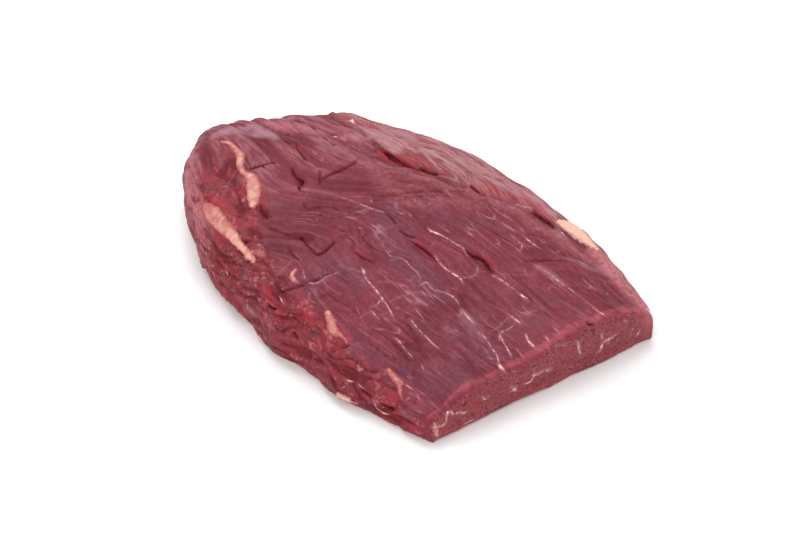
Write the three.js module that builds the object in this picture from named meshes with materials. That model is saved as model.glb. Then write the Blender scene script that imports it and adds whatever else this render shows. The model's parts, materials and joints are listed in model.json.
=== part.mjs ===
// Raw beef flank steak, one closed solid in millimetres. Its thick end is rounded, its left side is torn
// along the seams between muscles, its right side carries a thin flap, and its near end is cut straight
// across the grain.
//
// X runs across the steak, Y along the grain towards the thick end, and Z is up.
// The origin is under the middle of the steak, on the surface that it lies on.

import * as THREE from 'three';
import { ImprovedNoise } from 'three/addons/math/ImprovedNoise.js';

// Driving sizes
const LENGTH = 230;
const WIDTH = 160;
const THICKNESS = 41;

// Mesh steps across the top, along the top and down the sides
const ACROSS_STEPS = 54;
const ALONG_STEPS = 64;
const SIDE_STEPS = 8;
const RELAX_PASSES = 120;
const RIM_PASSES = 14;

// The widest contour seen from above, as shares of half the width and half the length, from the right corner
// of the cut end, round the thick end, to the left corner of the cut end
const CONTOUR = [
  [0.8, -1], [0.9, -0.86], [0.96, -0.69], [1, -0.441], [0.99, -0.158], [0.972, 0.085], [0.925, 0.335],
  [0.8, 0.62], [0.53, 0.815], [0.142, 0.9], [-0.137, 0.97], [-0.374, 0.995], [-0.569, 0.91],
  [-0.765, 0.72], [-0.92, 0.475], [-0.97, 0.2], [-0.978, -0.02], [-1, -0.14], [-0.927, -0.33], [-0.942, -0.5],
  [-0.869, -0.65], [-0.81, -0.8], [-0.737, -0.925],
];
const RIGHT_SHOULDER = 7; // the contour point where the right side becomes the thick end
const LEFT_SHOULDER = 13; // and where the thick end becomes the left side

// Thickness as a share of THICKNESS: seven places across, left to right, at five places from the cut to the
// thick end
const THICKNESS_SHARE = [
  [0.3, 0.5, 0.54, 0.57, 0.65, 0.62, 0.38],
  [0.6, 0.7, 0.71, 0.7, 0.71, 0.66, 0.5],
  [0.82, 0.88, 0.88, 0.85, 0.8, 0.72, 0.57],
  [0.92, 0.98, 0.96, 0.92, 0.87, 0.78, 0.6],
  [0.9, 0.95, 0.94, 0.89, 0.78, 0.66, 0.5],
];

// How far the top's rim stands in from the widest contour, how far the underside is tucked in, and how high
// the widest contour is, as a share of the rim's height
const RIM_INSET = { cut: 1.2, right: 12, thickEnd: 18.5, leftTorn: 22, left: 11 };
const UNDERSIDE_TUCK = { cut: 2.8, right: 5.5, thickEnd: 8.5, left: 2.8 };
const BELLY_SHARE = { right: 0.35, thickEnd: 0.45, left: 0.2 };
const BELLY_STEP_SHARE = 0.7; // share of the steps down the side that are above the widest contour
const CORNER_SHARE = 0.12; // share of each long side whose roundness fades into the square corner of the cut
const INSET_CORNER_SHARE = 0.16; // and share of it over which the rim runs out to that corner

// Muscle bundles along the top, the finer grain over them, and the crags of the torn side
const BUNDLES = 11;
const BUNDLE_DEPTH = 1.1;
const GRAIN_DEPTH = 0.6;
const CRAG_SIZE = 15;
const CRAG_DEPTH = 3.4;
const FOOT_WAVER = 1.2;
const SMOOTH_SKIN = 0.12; // how much of the crags a cut or skinned side has
const HALF_TORN = 0.35;

// The seam where the flap lies against the right side, and the flap's bulge past it
const SEAM = {
  path: [
    [0.04, 0.64], [0.19, 0.5], [0.34, 0.3], [0.49, 0.1], [0.56, -0.04], [0.7, -0.18], [0.81, -0.33],
    [0.87, -0.6], [0.84, -0.78],
  ],
  halfWidth: 4,
  depth: 2.6,
  flapWidth: 20,
  flapRise: 2.6,
};

// Slits where the bundles part
const SLIT_HALF_WIDTH = 2.4;
const SLITS = [
  { path: [[-0.04, -0.19], [-0.05, -0.26], [-0.02, -0.33]], depth: 2.6 },
  { path: [[0.17, -0.34], [0.19, -0.42], [0.2, -0.52]], depth: 3 },
  { path: [[-0.65, 0.18], [-0.54, 0.06], [-0.55, -0.06]], depth: 1.8 },
  { path: [[-0.45, 0.52], [-0.28, 0.52]], depth: 1.8 },
  { path: [[-0.24, 0.42], [-0.27, 0.33], [-0.32, 0.3]], depth: 2.4 },
  { path: [[-0.16, 0.3], [-0.01, 0.32], [0.12, 0.34]], depth: 1.6 },
  { path: [[-0.58, 0.34], [-0.64, 0.22]], depth: 2.6 },
  { path: [[-0.24, -0.05], [-0.23, -0.2]], depth: 1.4 },
];

// Pads of fat left on the surface
const PAD_RISE = 1.3;
const FAT_PADS = [
  { path: [[-0.4, 0.77], [-0.38, 0.66], [-0.46, 0.56]], halfWidth: 4.5 },
  { path: [[-0.48, 0.53], [-0.5, 0.43], [-0.6, 0.35]], halfWidth: 5.5 },
  { path: [[-0.78, 0.53], [-0.79, 0.42], [-0.85, 0.1]], halfWidth: 6.5 },
  { path: [[-0.76, -0.3], [-0.77, -0.38], [-0.79, -0.46]], halfWidth: 4 },
  { path: [[-0.74, -0.05], [-0.76, -0.12]], halfWidth: 3 },
  { path: [[-0.69, -0.64], [-0.68, -0.7], [-0.73, -0.76]], halfWidth: 4 },
  { path: [[0.84, -0.34], [0.87, -0.45], [0.91, -0.57]], halfWidth: 5 },
];

const { smoothstep, lerp, clamp } = THREE.MathUtils;
const noise = new ImprovedNoise();
const plan = ([across, along]) => new THREE.Vector2((across * WIDTH) / 2, (along * LENGTH) / 2);
const onPlan = (feature) => ({ ...feature, path: feature.path.map(plan) });
const seam = onPlan(SEAM);
const slits = SLITS.map(onPlan);
const fatPads = FAT_PADS.map(onPlan);

// The value at share t of a smooth curve through evenly spaced values.
function throughValues(values, t) {
  const last = values.length - 1;
  const place = clamp(t, 0, 1) * last;
  const k = Math.min(Math.floor(place), last - 1);
  const f = place - k;
  const [a, b, c, d] = [k - 1, k, k + 1, k + 2].map((n) => values[clamp(n, 0, last)]);
  return b + 0.5 * f * (c - a + f * (2 * a - 5 * b + 4 * c - d + f * (3 * (b - c) + d - a)));
}

// Points at equal steps along a polyline.
function evenly(points, steps) {
  const reach = [0];
  for (let i = 1; i < points.length; i++) reach.push(reach[i - 1] + points[i].distanceTo(points[i - 1]));
  const total = reach[reach.length - 1];
  const made = [];
  let i = 1;
  for (let k = 0; k <= steps; k++) {
    const want = (total * k) / steps;
    while (i < points.length - 1 && reach[i] < want) i++;
    made.push(points[i - 1].clone().lerp(points[i], (want - reach[i - 1]) / (reach[i] - reach[i - 1])));
  }
  return made;
}

// How far a place on the plan is from a path, how far along the path that is as a share of it, and on which
// side.
function nearest(p, path) {
  let best = { distance: Infinity };
  for (let k = 1; k < path.length; k++) {
    const run = path[k].clone().sub(path[k - 1]);
    const reach = p.clone().sub(path[k - 1]);
    const side = Math.sign(run.cross(reach));
    const t = clamp(reach.dot(run) / run.lengthSq(), 0, 1);
    const distance = reach.addScaledVector(run, -t).length();
    if (distance < best.distance) best = { distance, share: (k - 1 + t) / (path.length - 1), side };
  }
  return best;
}

// The widest contour as one closed ring of points: the cut, the right side, the thick end and the left side.
function contourRing() {
  const corners = CONTOUR.map(plan);
  const last = corners.length - 1;
  const skin = new THREE.CatmullRomCurve3(
    corners.map(({ x, y }) => new THREE.Vector3(x, y, 0)), false, 'centripetal');
  const stretch = (from, to) => {
    const fine = Array.from({ length: 401 }, (_, n) => skin.getPoint(lerp(from, to, n / 400) / last));
    return fine.map(({ x, y }) => new THREE.Vector2(x, y));
  };
  const runs = [
    evenly([corners[last], corners[0]], ACROSS_STEPS),
    evenly(stretch(0, RIGHT_SHOULDER), ALONG_STEPS),
    evenly(stretch(RIGHT_SHOULDER, LEFT_SHOULDER), ACROSS_STEPS),
    evenly(stretch(LEFT_SHOULDER, last), ALONG_STEPS),
  ];
  return runs.flatMap((run) => run.slice(0, -1));
}

// Which run a ring index is in, and its share of the way along that run.
function placeOnRing(k) {
  const runs = [['cut', ACROSS_STEPS], ['right', ALONG_STEPS], ['thickEnd', ACROSS_STEPS]];
  let passed = 0;
  for (const [run, steps] of runs) {
    if (k <= passed + steps) return { run, share: (k - passed) / steps };
    passed += steps;
  }
  return { run: 'left', share: (k - passed) / ALONG_STEPS };
}

// The outward direction at each point of a ring, square to the line between its neighbours.
function outwards(ring) {
  return ring.map((_, k) => {
    const before = ring[(k + ring.length - 1) % ring.length];
    const along = ring[(k + 1) % ring.length].clone().sub(before).normalize();
    return new THREE.Vector2(along.y, -along.x);
  });
}

// How torn the side is at a place on the ring: all of it on the left, a little on the right.
function tornness({ run, share }) {
  if (run === 'cut') return SMOOTH_SKIN;
  if (run === 'right') return lerp(SMOOTH_SKIN, HALF_TORN, smoothstep(share, 0, 0.3));
  if (run === 'thickEnd') return lerp(HALF_TORN, 1, smoothstep(share, 0.3, 0.9));
  return lerp(1, SMOOTH_SKIN, smoothstep(share, 0.92, 1));
}

// The ring with the uneven foot of the torn side.
function wavered(ring) {
  const outward = outwards(ring);
  return ring.map((p, k) => {
    const waver = FOOT_WAVER * noise.noise(p.x / 24, p.y / 24, 9.3);
    return p.clone().addScaledVector(outward[k], waver * tornness(placeOnRing(k)) ** 2);
  });
}

function rimInset({ run, share }) {
  const { cut, right, thickEnd, leftTorn, left } = RIM_INSET;
  if (run === 'cut') return cut;
  if (run === 'thickEnd') return lerp(thickEnd, leftTorn, smoothstep(share, 0.5, 1));
  const onRight = run === 'right';
  const full = onRight
    ? lerp(right, thickEnd, smoothstep(share, 0.7, 1))
    : lerp(leftTorn, left, smoothstep(share, 0, 0.5));
  return lerp(cut, full, smoothstep(onRight ? share : 1 - share, 0, INSET_CORNER_SHARE));
}

// The top's rim: in from the contour, and evened out between the corners of the cut.
function rimRing(ring) {
  const outward = outwards(ring);
  let rim = ring.map((p, k) => p.clone().addScaledVector(outward[k], -rimInset(placeOnRing(k))));
  for (let pass = 0; pass < RIM_PASSES; pass++) {
    rim = rim.map((p, k) => {
      if (k <= ACROSS_STEPS) return p;
      return rim[k - 1].clone().add(rim[(k + 1) % rim.length]).multiplyScalar(0.5);
    });
  }
  return rim;
}

// The height of the top at shares across and along it.
function topHeight(across, along) {
  const rows = THICKNESS_SHARE.map((row) => throughValues(row, across));
  return THICKNESS * throughValues(rows, along);
}

// The inside of the rim, from its four sides: a grid of rows from the cut to the thick end.
function patchInside(rim) {
  const cornerRight = ACROSS_STEPS;
  const cornerFarRight = cornerRight + ALONG_STEPS;
  const cornerFarLeft = cornerFarRight + ACROSS_STEPS;
  const grid = [];
  for (let j = 0; j <= ALONG_STEPS; j++) {
    const v = j / ALONG_STEPS;
    const left = rim[(cornerFarLeft + ALONG_STEPS - j) % rim.length];
    const right = rim[cornerRight + j];
    grid.push([]);
    for (let i = 0; i <= ACROSS_STEPS; i++) {
      const u = i / ACROSS_STEPS;
      const ends = rim[i].clone().lerp(rim[cornerFarLeft - i], v);
      const nearCorners = rim[0].clone().lerp(rim[cornerRight], u);
      const farCorners = rim[cornerFarLeft].clone().lerp(rim[cornerFarRight], u);
      grid[j].push(ends.add(left.clone().lerp(right, u)).sub(nearCorners.lerp(farCorners, v)));
    }
  }
  return relaxed(grid);
}

// The grid with its inner points drawn midway between their neighbours, so that it stays even round the thick
// end.
function relaxed(grid) {
  for (let pass = 0; pass < RELAX_PASSES; pass++) {
    for (let j = 1; j < ALONG_STEPS; j++) {
      for (let i = 1; i < ACROSS_STEPS; i++) {
        const around = [grid[j][i - 1], grid[j][i + 1], grid[j - 1][i], grid[j + 1][i]];
        grid[j][i].set(0, 0);
        around.forEach((p) => grid[j][i].addScaledVector(p, 0.25));
      }
    }
  }
  return grid;
}

// The value for a place on the ring, going smoothly from the right side by the thick end to the left side.
function roundTheEnd({ run, share }, { right, thickEnd, left }) {
  if (run === 'right') return lerp(right, thickEnd, smoothstep(share, 0.5, 1));
  if (run === 'left') return lerp(thickEnd, left, smoothstep(share, 0, 0.4));
  return thickEnd;
}

// A point of the knife-cut face, at a share of the way down: how far in it stands towards the rim, as a
// share, how far it is tucked under, and its height.
function cutFacePoint(place, share, rimHeight) {
  const tuck = place.run === 'cut' ? UNDERSIDE_TUCK.cut * Math.sqrt(Math.sin(place.share * Math.PI)) : 0;
  return { towardsRim: share === 0 ? 1 : 0, tuck: tuck * share ** 3, height: rimHeight * (1 - share) };
}

// The same for a rounded side, which goes out to the widest contour and in again to the underside.
function roundSidePoint(place, share, rimHeight) {
  const belly = rimHeight * roundTheEnd(place, BELLY_SHARE);
  if (share <= BELLY_STEP_SHARE) {
    const turn = (share / BELLY_STEP_SHARE) * (Math.PI / 2);
    return { towardsRim: 1 - Math.sin(turn), tuck: 0, height: lerp(belly, rimHeight, Math.cos(turn)) };
  }
  const turn = ((share - BELLY_STEP_SHARE) / (1 - BELLY_STEP_SHARE)) * (Math.PI / 2);
  const tuck = roundTheEnd(place, UNDERSIDE_TUCK) * (1 - Math.cos(turn));
  return { towardsRim: 0, tuck, height: belly * (1 - Math.sin(turn)) };
}

function sidePoint(place, share, rimHeight) {
  const cut = cutFacePoint(place, share, rimHeight);
  const round = roundSidePoint(place, share, rimHeight);
  const fromCorner = { cut: 0, right: place.share, thickEnd: 1, left: 1 - place.share }[place.run];
  const roundness = smoothstep(fromCorner, 0, CORNER_SHARE);
  return {
    towardsRim: lerp(cut.towardsRim, round.towardsRim, roundness),
    tuck: lerp(cut.tuck, round.tuck, roundness),
    height: lerp(cut.height, round.height, roundness),
  };
}

// Wavy bundles side by side, from the cut to the thick end, with finer grain over them.
function bundleRelief(p, across, along) {
  const sway = 1.3 * noise.noise(p.x / 70, p.y / 50, 3.1) + 0.3 * noise.noise(p.x / 20, p.y / 22, 7.7);
  const swell = 0.55 + 0.45 * noise.noise(p.x / 30, p.y / 40, 11.3);
  const bundle = Math.abs(Math.sin(Math.PI * (BUNDLES * across + sway))) - 0.64;
  const grain = noise.noise(p.x / 6, p.y / 26, 5.9);
  const inside = smoothstep(Math.min(across, 1 - across), 0, 0.08) * (1 - smoothstep(along, 0.86, 1));
  return inside * (BUNDLE_DEPTH * swell * bundle + GRAIN_DEPTH * grain);
}

// The groove along the seam, and the flap's rise beside it.
function seamRelief(p) {
  const { distance, share, side } = nearest(p, seam.path);
  const ends = smoothstep(share, 0, 0.2) * (1 - smoothstep(share, 0.93, 1));
  const gape = 0.7 + 0.6 * noise.noise(share * 9, 0.5, 2.2);
  const groove = seam.depth * gape * Math.exp(-((distance / seam.halfWidth) ** 2));
  const onFlap = side > 0 ? clamp(distance / seam.flapWidth, 0, 1) : 0;
  return ends * (seam.flapRise * Math.sin(Math.PI * onFlap) - groove);
}

function slitRelief(p) {
  const depths = slits.map(({ path, depth }) => {
    const { distance, share } = nearest(p, path);
    const taper = 0.35 + 0.65 * Math.sin(Math.PI * share);
    return depth * taper * (1 - smoothstep(distance, 0, SLIT_HALF_WIDTH));
  });
  return -Math.max(...depths);
}

function padRelief(p) {
  const rises = fatPads.map(({ path, halfWidth }) => {
    const ragged = halfWidth * (1 + 0.35 * noise.noise(p.x / 7, p.y / 7, 1.7));
    return 1 - smoothstep(nearest(p, path).distance, 0.6 * ragged, ragged + 1);
  });
  return PAD_RISE * Math.max(...rises);
}

// Lumps and hollows of torn meat.
function cragRelief(p) {
  const lumps = Math.abs(noise.noise(p.x / CRAG_SIZE, p.y / CRAG_SIZE, p.z / CRAG_SIZE)) - 0.25;
  const crumbs = noise.noise(p.x / 6 + 40, p.y / 6, p.z / 5);
  return CRAG_DEPTH * (lumps + 0.25 * crumbs);
}

// How far a point stands out from the plain form. Its drop is 0 on the top and 1 at the underside.
function relief({ position, across, along, torn, drop }) {
  const p = new THREE.Vector2(position.x, position.y);
  const onTop = 1 - smoothstep(drop, 0, 0.35);
  const onSide = smoothstep(drop, 0, 0.25) * (1 - smoothstep(drop, 0.9, 1));
  const onPads = 1 - smoothstep(drop, 0.6, 0.9);
  const top = bundleRelief(p, across, along) + seamRelief(p) + slitRelief(p);
  return onTop * top + onSide * torn * cragRelief(position) + onPads * padRelief(p);
}

// The top's points and faces. Its diagonals turn at the middle, so that both halves of the thick end lie
// smoothly. Gives the points of the rim, in the ring's order.
function addTop(points, faces, rim) {
  const top = patchInside(rim).map((row, j) => row.map((p, i) => {
    const [across, along] = [i / ACROSS_STEPS, j / ALONG_STEPS];
    const position = new THREE.Vector3(p.x, p.y, topHeight(across, along));
    return points.push({ position, across, along, torn: 0, drop: 0 }) - 1;
  }));
  for (let j = 0; j < ALONG_STEPS; j++) {
    for (let i = 0; i < ACROSS_STEPS; i++) {
      const [a, b, c, d] = [top[j][i], top[j][i + 1], top[j + 1][i + 1], top[j + 1][i]];
      if (i < ACROSS_STEPS / 2) faces.push(a, b, d, b, c, d);
      else faces.push(a, b, c, a, c, d);
    }
  }
  const cut = top[0].slice(0, -1);
  const right = top.slice(0, -1).map((row) => row[ACROSS_STEPS]);
  const thickEnd = top[ALONG_STEPS].slice(1).reverse();
  const left = top.slice(1).map((row) => row[0]).reverse();
  return [...cut, ...right, ...thickEnd, ...left];
}

// Rings of points and faces from the rim down to the underside. Gives the lowest ring.
function addSides(points, faces, ring, rim, rimIndex) {
  const outward = outwards(ring);
  let above = rimIndex;
  for (let step = 1; step <= SIDE_STEPS; step++) {
    const drop = step / SIDE_STEPS;
    const below = ring.map((p, k) => {
      const place = placeOnRing(k);
      const atRim = points[rimIndex[k]];
      const { towardsRim, tuck, height } = sidePoint(place, drop, atRim.position.z);
      const at = p.clone().lerp(rim[k], towardsRim).addScaledVector(outward[k], -tuck);
      const position = new THREE.Vector3(at.x, at.y, height);
      return points.push({ ...atRim, position, torn: tornness(place), drop }) - 1;
    });
    for (let k = 0; k < ring.length; k++) {
      const next = (k + 1) % ring.length;
      faces.push(above[k], below[k], below[next], above[k], below[next], above[next]);
    }
    above = below;
  }
  return above;
}

// The flat underside.
function addUnderside(points, faces, foot) {
  const outline = foot.map((n) => new THREE.Vector2(points[n].position.x, points[n].position.y));
  const triangles = THREE.ShapeUtils.triangulateShape(outline, []);
  triangles.forEach(([a, b, c]) => faces.push(foot[a], foot[c], foot[b]));
}

// Moves each point above the underside out or in along its normal, by its relief.
function carve(geometry, points) {
  const { position, normal } = geometry.attributes;
  points.forEach((point, n) => {
    if (point.drop === 1) return;
    const out = new THREE.Vector3().fromBufferAttribute(normal, n);
    const moved = point.position.clone().addScaledVector(out, relief(point));
    position.setXYZ(n, moved.x, moved.y, moved.z);
  });
}

function steakGeometry() {
  const ring = wavered(contourRing());
  const rim = rimRing(ring);
  const points = [];
  const faces = [];
  const rimIndex = addTop(points, faces, rim);
  const foot = addSides(points, faces, ring, rim, rimIndex);
  addUnderside(points, faces, foot);

  const geometry = new THREE.BufferGeometry().setFromPoints(points.map(({ position }) => position));
  geometry.setIndex(faces);
  geometry.computeVertexNormals();
  carve(geometry, points);
  geometry.computeBoundingBox();
  const middle = geometry.boundingBox.getCenter(new THREE.Vector3());
  geometry.translate(-middle.x, -middle.y, 0);
  geometry.computeVertexNormals();
  return geometry;
}

const lean = new THREE.MeshStandardMaterial({ color: 0x894c58, roughness: 0.42, metalness: 0 });
const steak = new THREE.Mesh(steakGeometry(), lean);
steak.name = 'steak';

const part = new THREE.Group();
part.add(steak);
export default part;
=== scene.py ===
"""A raw beef flank steak, finished for its photograph.

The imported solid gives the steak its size, outline and main relief. The body here is a copy of that solid
with the fine relief of muscle bundles, clefts, torn crags and fat pads. Marbling threads lie sunk in it,
and both take their colours from procedural materials. Marks that the photograph shows are written as picture
points of its 800 by 534 frame and are cast from the photograph's standpoint onto the steak.

Lengths are in millimetres, apart from what goes to Blender, which is in metres.
"""

import json
import logging
import math
from dataclasses import dataclass
from enum import Enum
from typing import Iterable

import bmesh
import bpy
import numpy as np
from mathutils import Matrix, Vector, noise
from mathutils.bvhtree import BVHTree
from mathutils.kdtree import KDTree

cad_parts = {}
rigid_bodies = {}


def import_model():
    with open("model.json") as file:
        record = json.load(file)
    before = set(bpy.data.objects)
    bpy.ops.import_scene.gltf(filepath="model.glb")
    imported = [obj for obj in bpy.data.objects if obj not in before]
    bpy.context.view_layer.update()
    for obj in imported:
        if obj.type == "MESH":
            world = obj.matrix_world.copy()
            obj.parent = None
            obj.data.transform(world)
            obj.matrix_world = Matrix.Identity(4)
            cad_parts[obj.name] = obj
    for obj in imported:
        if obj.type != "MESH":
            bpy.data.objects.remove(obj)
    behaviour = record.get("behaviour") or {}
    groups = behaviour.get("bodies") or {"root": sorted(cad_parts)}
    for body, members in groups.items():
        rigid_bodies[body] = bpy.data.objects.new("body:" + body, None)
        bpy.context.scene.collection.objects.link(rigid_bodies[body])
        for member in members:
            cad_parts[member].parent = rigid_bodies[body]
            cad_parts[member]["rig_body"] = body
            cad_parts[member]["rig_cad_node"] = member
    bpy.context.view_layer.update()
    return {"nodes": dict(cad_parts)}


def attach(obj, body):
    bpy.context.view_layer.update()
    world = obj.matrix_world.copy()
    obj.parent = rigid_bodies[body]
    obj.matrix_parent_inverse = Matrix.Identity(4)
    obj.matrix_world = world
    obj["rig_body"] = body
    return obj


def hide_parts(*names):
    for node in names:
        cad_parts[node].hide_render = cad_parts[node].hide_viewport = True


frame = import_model()

MM = 0.001
LOG = logging.getLogger("steak")

Spot = tuple[float, float]  # a picture point
Tone = tuple[int, int, int]  # a colour on screen, from 0 to 255
Colour = tuple[float, float, float, float]
Socket = bpy.types.NodeSocket
Value = Socket | float | tuple[float, ...]


def linear(red: float, green: float, blue: float) -> Colour:
    """The linear colour of a screen colour.

    Args:
        red, green, blue: the screen colour's parts, from 0 to 255.

    Returns:
        The colour as four numbers from 0 to 1, with full alpha.
    """
    parts = [x / 255 for x in (red, green, blue)]
    straight = [x / 12.92 if x <= 0.04045 else ((x + 0.055) / 1.055) ** 2.4 for x in parts]
    return (straight[0], straight[1], straight[2], 1.0)


def smooth_step(values: np.ndarray, low: float, high: float) -> np.ndarray:
    """Values eased from 0 at low to 1 at high."""
    share = np.clip((values - low) / (high - low), 0, 1)
    return share * share * (3 - 2 * share)


def waves(places: np.ndarray, seed: float) -> np.ndarray:
    """Smooth noise at each place.

    Args:
        places: rows of two or three coordinates, in wavelengths.
        seed: picks one field of noise among many.

    Returns:
        One number from about -1 to 1 for each row.
    """
    spots = np.zeros((len(places), 3))
    spots[:, : places.shape[1]] = places
    spots += seed * np.array([3.1, 5.7, 7.3])
    return np.fromiter((noise.noise(spot) for spot in spots.tolist()), float, len(spots))


@dataclass(frozen=True)
class Viewpoint:
    """The photograph's standpoint, and the camera that stands there."""

    azimuth: float = -38.25
    elevation: float = 39.72
    distance: float = 1100.0
    focal: float = 2344.8  # in picture points
    aim: tuple[float, float, float] = (-5.2, -14.8, 14.0)
    picture: tuple[int, int] = (800, 534)
    sensor: float = 36.0  # the camera's sensor width

    def axes(self) -> tuple[np.ndarray, np.ndarray, np.ndarray]:
        """Works out how the camera is turned.

        Returns:
            The picture's right and up and the line of sight, as unit vectors.
        """
        turn, dip = math.radians(self.azimuth), math.radians(self.elevation)
        level = np.array([-math.sin(turn), math.cos(turn), 0.0])
        upright = np.array([0.0, 0.0, 1.0])
        right = np.array([math.cos(turn), math.sin(turn), 0.0])
        up = level * math.sin(dip) + upright * math.cos(dip)
        return right, up, level * math.cos(dip) - upright * math.sin(dip)

    def eye(self) -> np.ndarray:
        """The camera's place."""
        return np.array(self.aim) - self.axes()[2] * self.distance

    def ray(self, spot: Spot) -> np.ndarray:
        """Works out the line of sight through a picture point.

        Args:
            spot: the picture point.

        Returns:
            The unit vector from the eye through it.
        """
        right, up, forward = self.axes()
        across = (spot[0] - self.picture[0] / 2) / self.focal
        below = (spot[1] - self.picture[1] / 2) / self.focal
        way = forward + right * across - up * below
        return way / np.linalg.norm(way)

    def add_camera(self) -> None:
        """Puts the scene's camera at the standpoint."""
        place = [x * MM for x in self.eye()]
        facing = Vector(self.axes()[2]).to_track_quat("-Z", "Y").to_euler()
        bpy.ops.object.camera_add(location=place, rotation=facing)
        camera = bpy.context.active_object
        camera.name = "camera"
        camera.data.sensor_width = self.sensor
        camera.data.lens = self.focal / self.picture[0] * self.sensor
        bpy.context.scene.camera = camera


@dataclass(frozen=True)
class Stroke:
    """A mark along a line of picture points, with its half width at each point."""

    spots: tuple[Spot, ...]
    half_width: float | tuple[float, ...]
    amount: float = 1.0  # how strong the mark is, or how pale a fat pad is


@dataclass(frozen=True)
class Trail:
    """A stroke laid on the steak: close points on its surface, with the half width at each."""

    points: np.ndarray
    half_width: np.ndarray
    amount: float


Field = tuple[np.ndarray, np.ndarray, Trail]


class Tracer:
    """Casts picture points onto a piece."""

    spacing = 1.0  # between the cast points, in picture points

    def __init__(self, view: Viewpoint, piece: bpy.types.Object) -> None:
        """Keeps the piece's present surface for casting."""
        self.view = view
        self.tree = BVHTree.FromObject(piece, bpy.context.evaluated_depsgraph_get())

    def cast(self, spot: Spot) -> np.ndarray | None:
        """The point of the surface that shows at a picture point, or None beside the steak."""
        hit = self.tree.ray_cast(Vector(self.view.eye() * MM), Vector(self.view.ray(spot)))[0]
        return None if hit is None else np.array(hit) / MM

    def on_floor(self, spot: Spot) -> np.ndarray:
        """The point of the floor that shows at a picture point."""
        eye, ray = self.view.eye(), self.view.ray(spot)
        return eye - ray * (eye[2] / ray[2])

    def nearest(self, point: np.ndarray) -> tuple[np.ndarray, np.ndarray]:
        """The surface's nearest point and its normal there."""
        place, normal, _, _ = self.tree.find_nearest(Vector(point * MM))
        return np.array(place) / MM, np.array(normal)

    def lay(self, stroke: Stroke) -> Trail:
        """Lays a stroke on the surface.

        Args:
            stroke: the mark as picture points.

        Returns:
            The trail of close points that a smooth line through the picture points leaves.
        """
        spots = np.array(stroke.spots, float)
        widths = np.broadcast_to(np.array(stroke.half_width, float), len(spots))
        lengths = np.linalg.norm(np.diff(spots, axis=0), axis=1)
        at = np.concatenate([[0.0], np.cumsum(lengths)])
        wanted = np.linspace(0, at[-1], max(2, int(at[-1] / self.spacing) + 1))
        slopes = np.gradient(spots, at, axis=0)
        laid: list[np.ndarray] = []
        kept: list[float] = []
        for place in wanted:
            k = min(int(np.searchsorted(at, place, side="right")) - 1, len(lengths) - 1)
            t = (place - at[k]) / lengths[k]
            blend = np.array([2 * t**3 - 3 * t**2 + 1, t**3 - 2 * t**2 + t, 3 * t**2 - 2 * t**3, t**3 - t**2])
            ends = [spots[k], slopes[k] * lengths[k], spots[k + 1], slopes[k + 1] * lengths[k]]
            hit = self.cast(tuple(blend @ np.array(ends)))
            if hit is not None:
                laid.append(hit)
                kept.append(float(np.interp(place, at, widths)))
        return Trail(np.array(laid), np.array(kept), stroke.amount)

    def lay_all(self, strokes: Iterable[Stroke]) -> list[Trail]:
        """The trails of the strokes that land on the surface."""
        return [trail for trail in map(self.lay, strokes) if len(trail.points) > 1]


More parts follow.
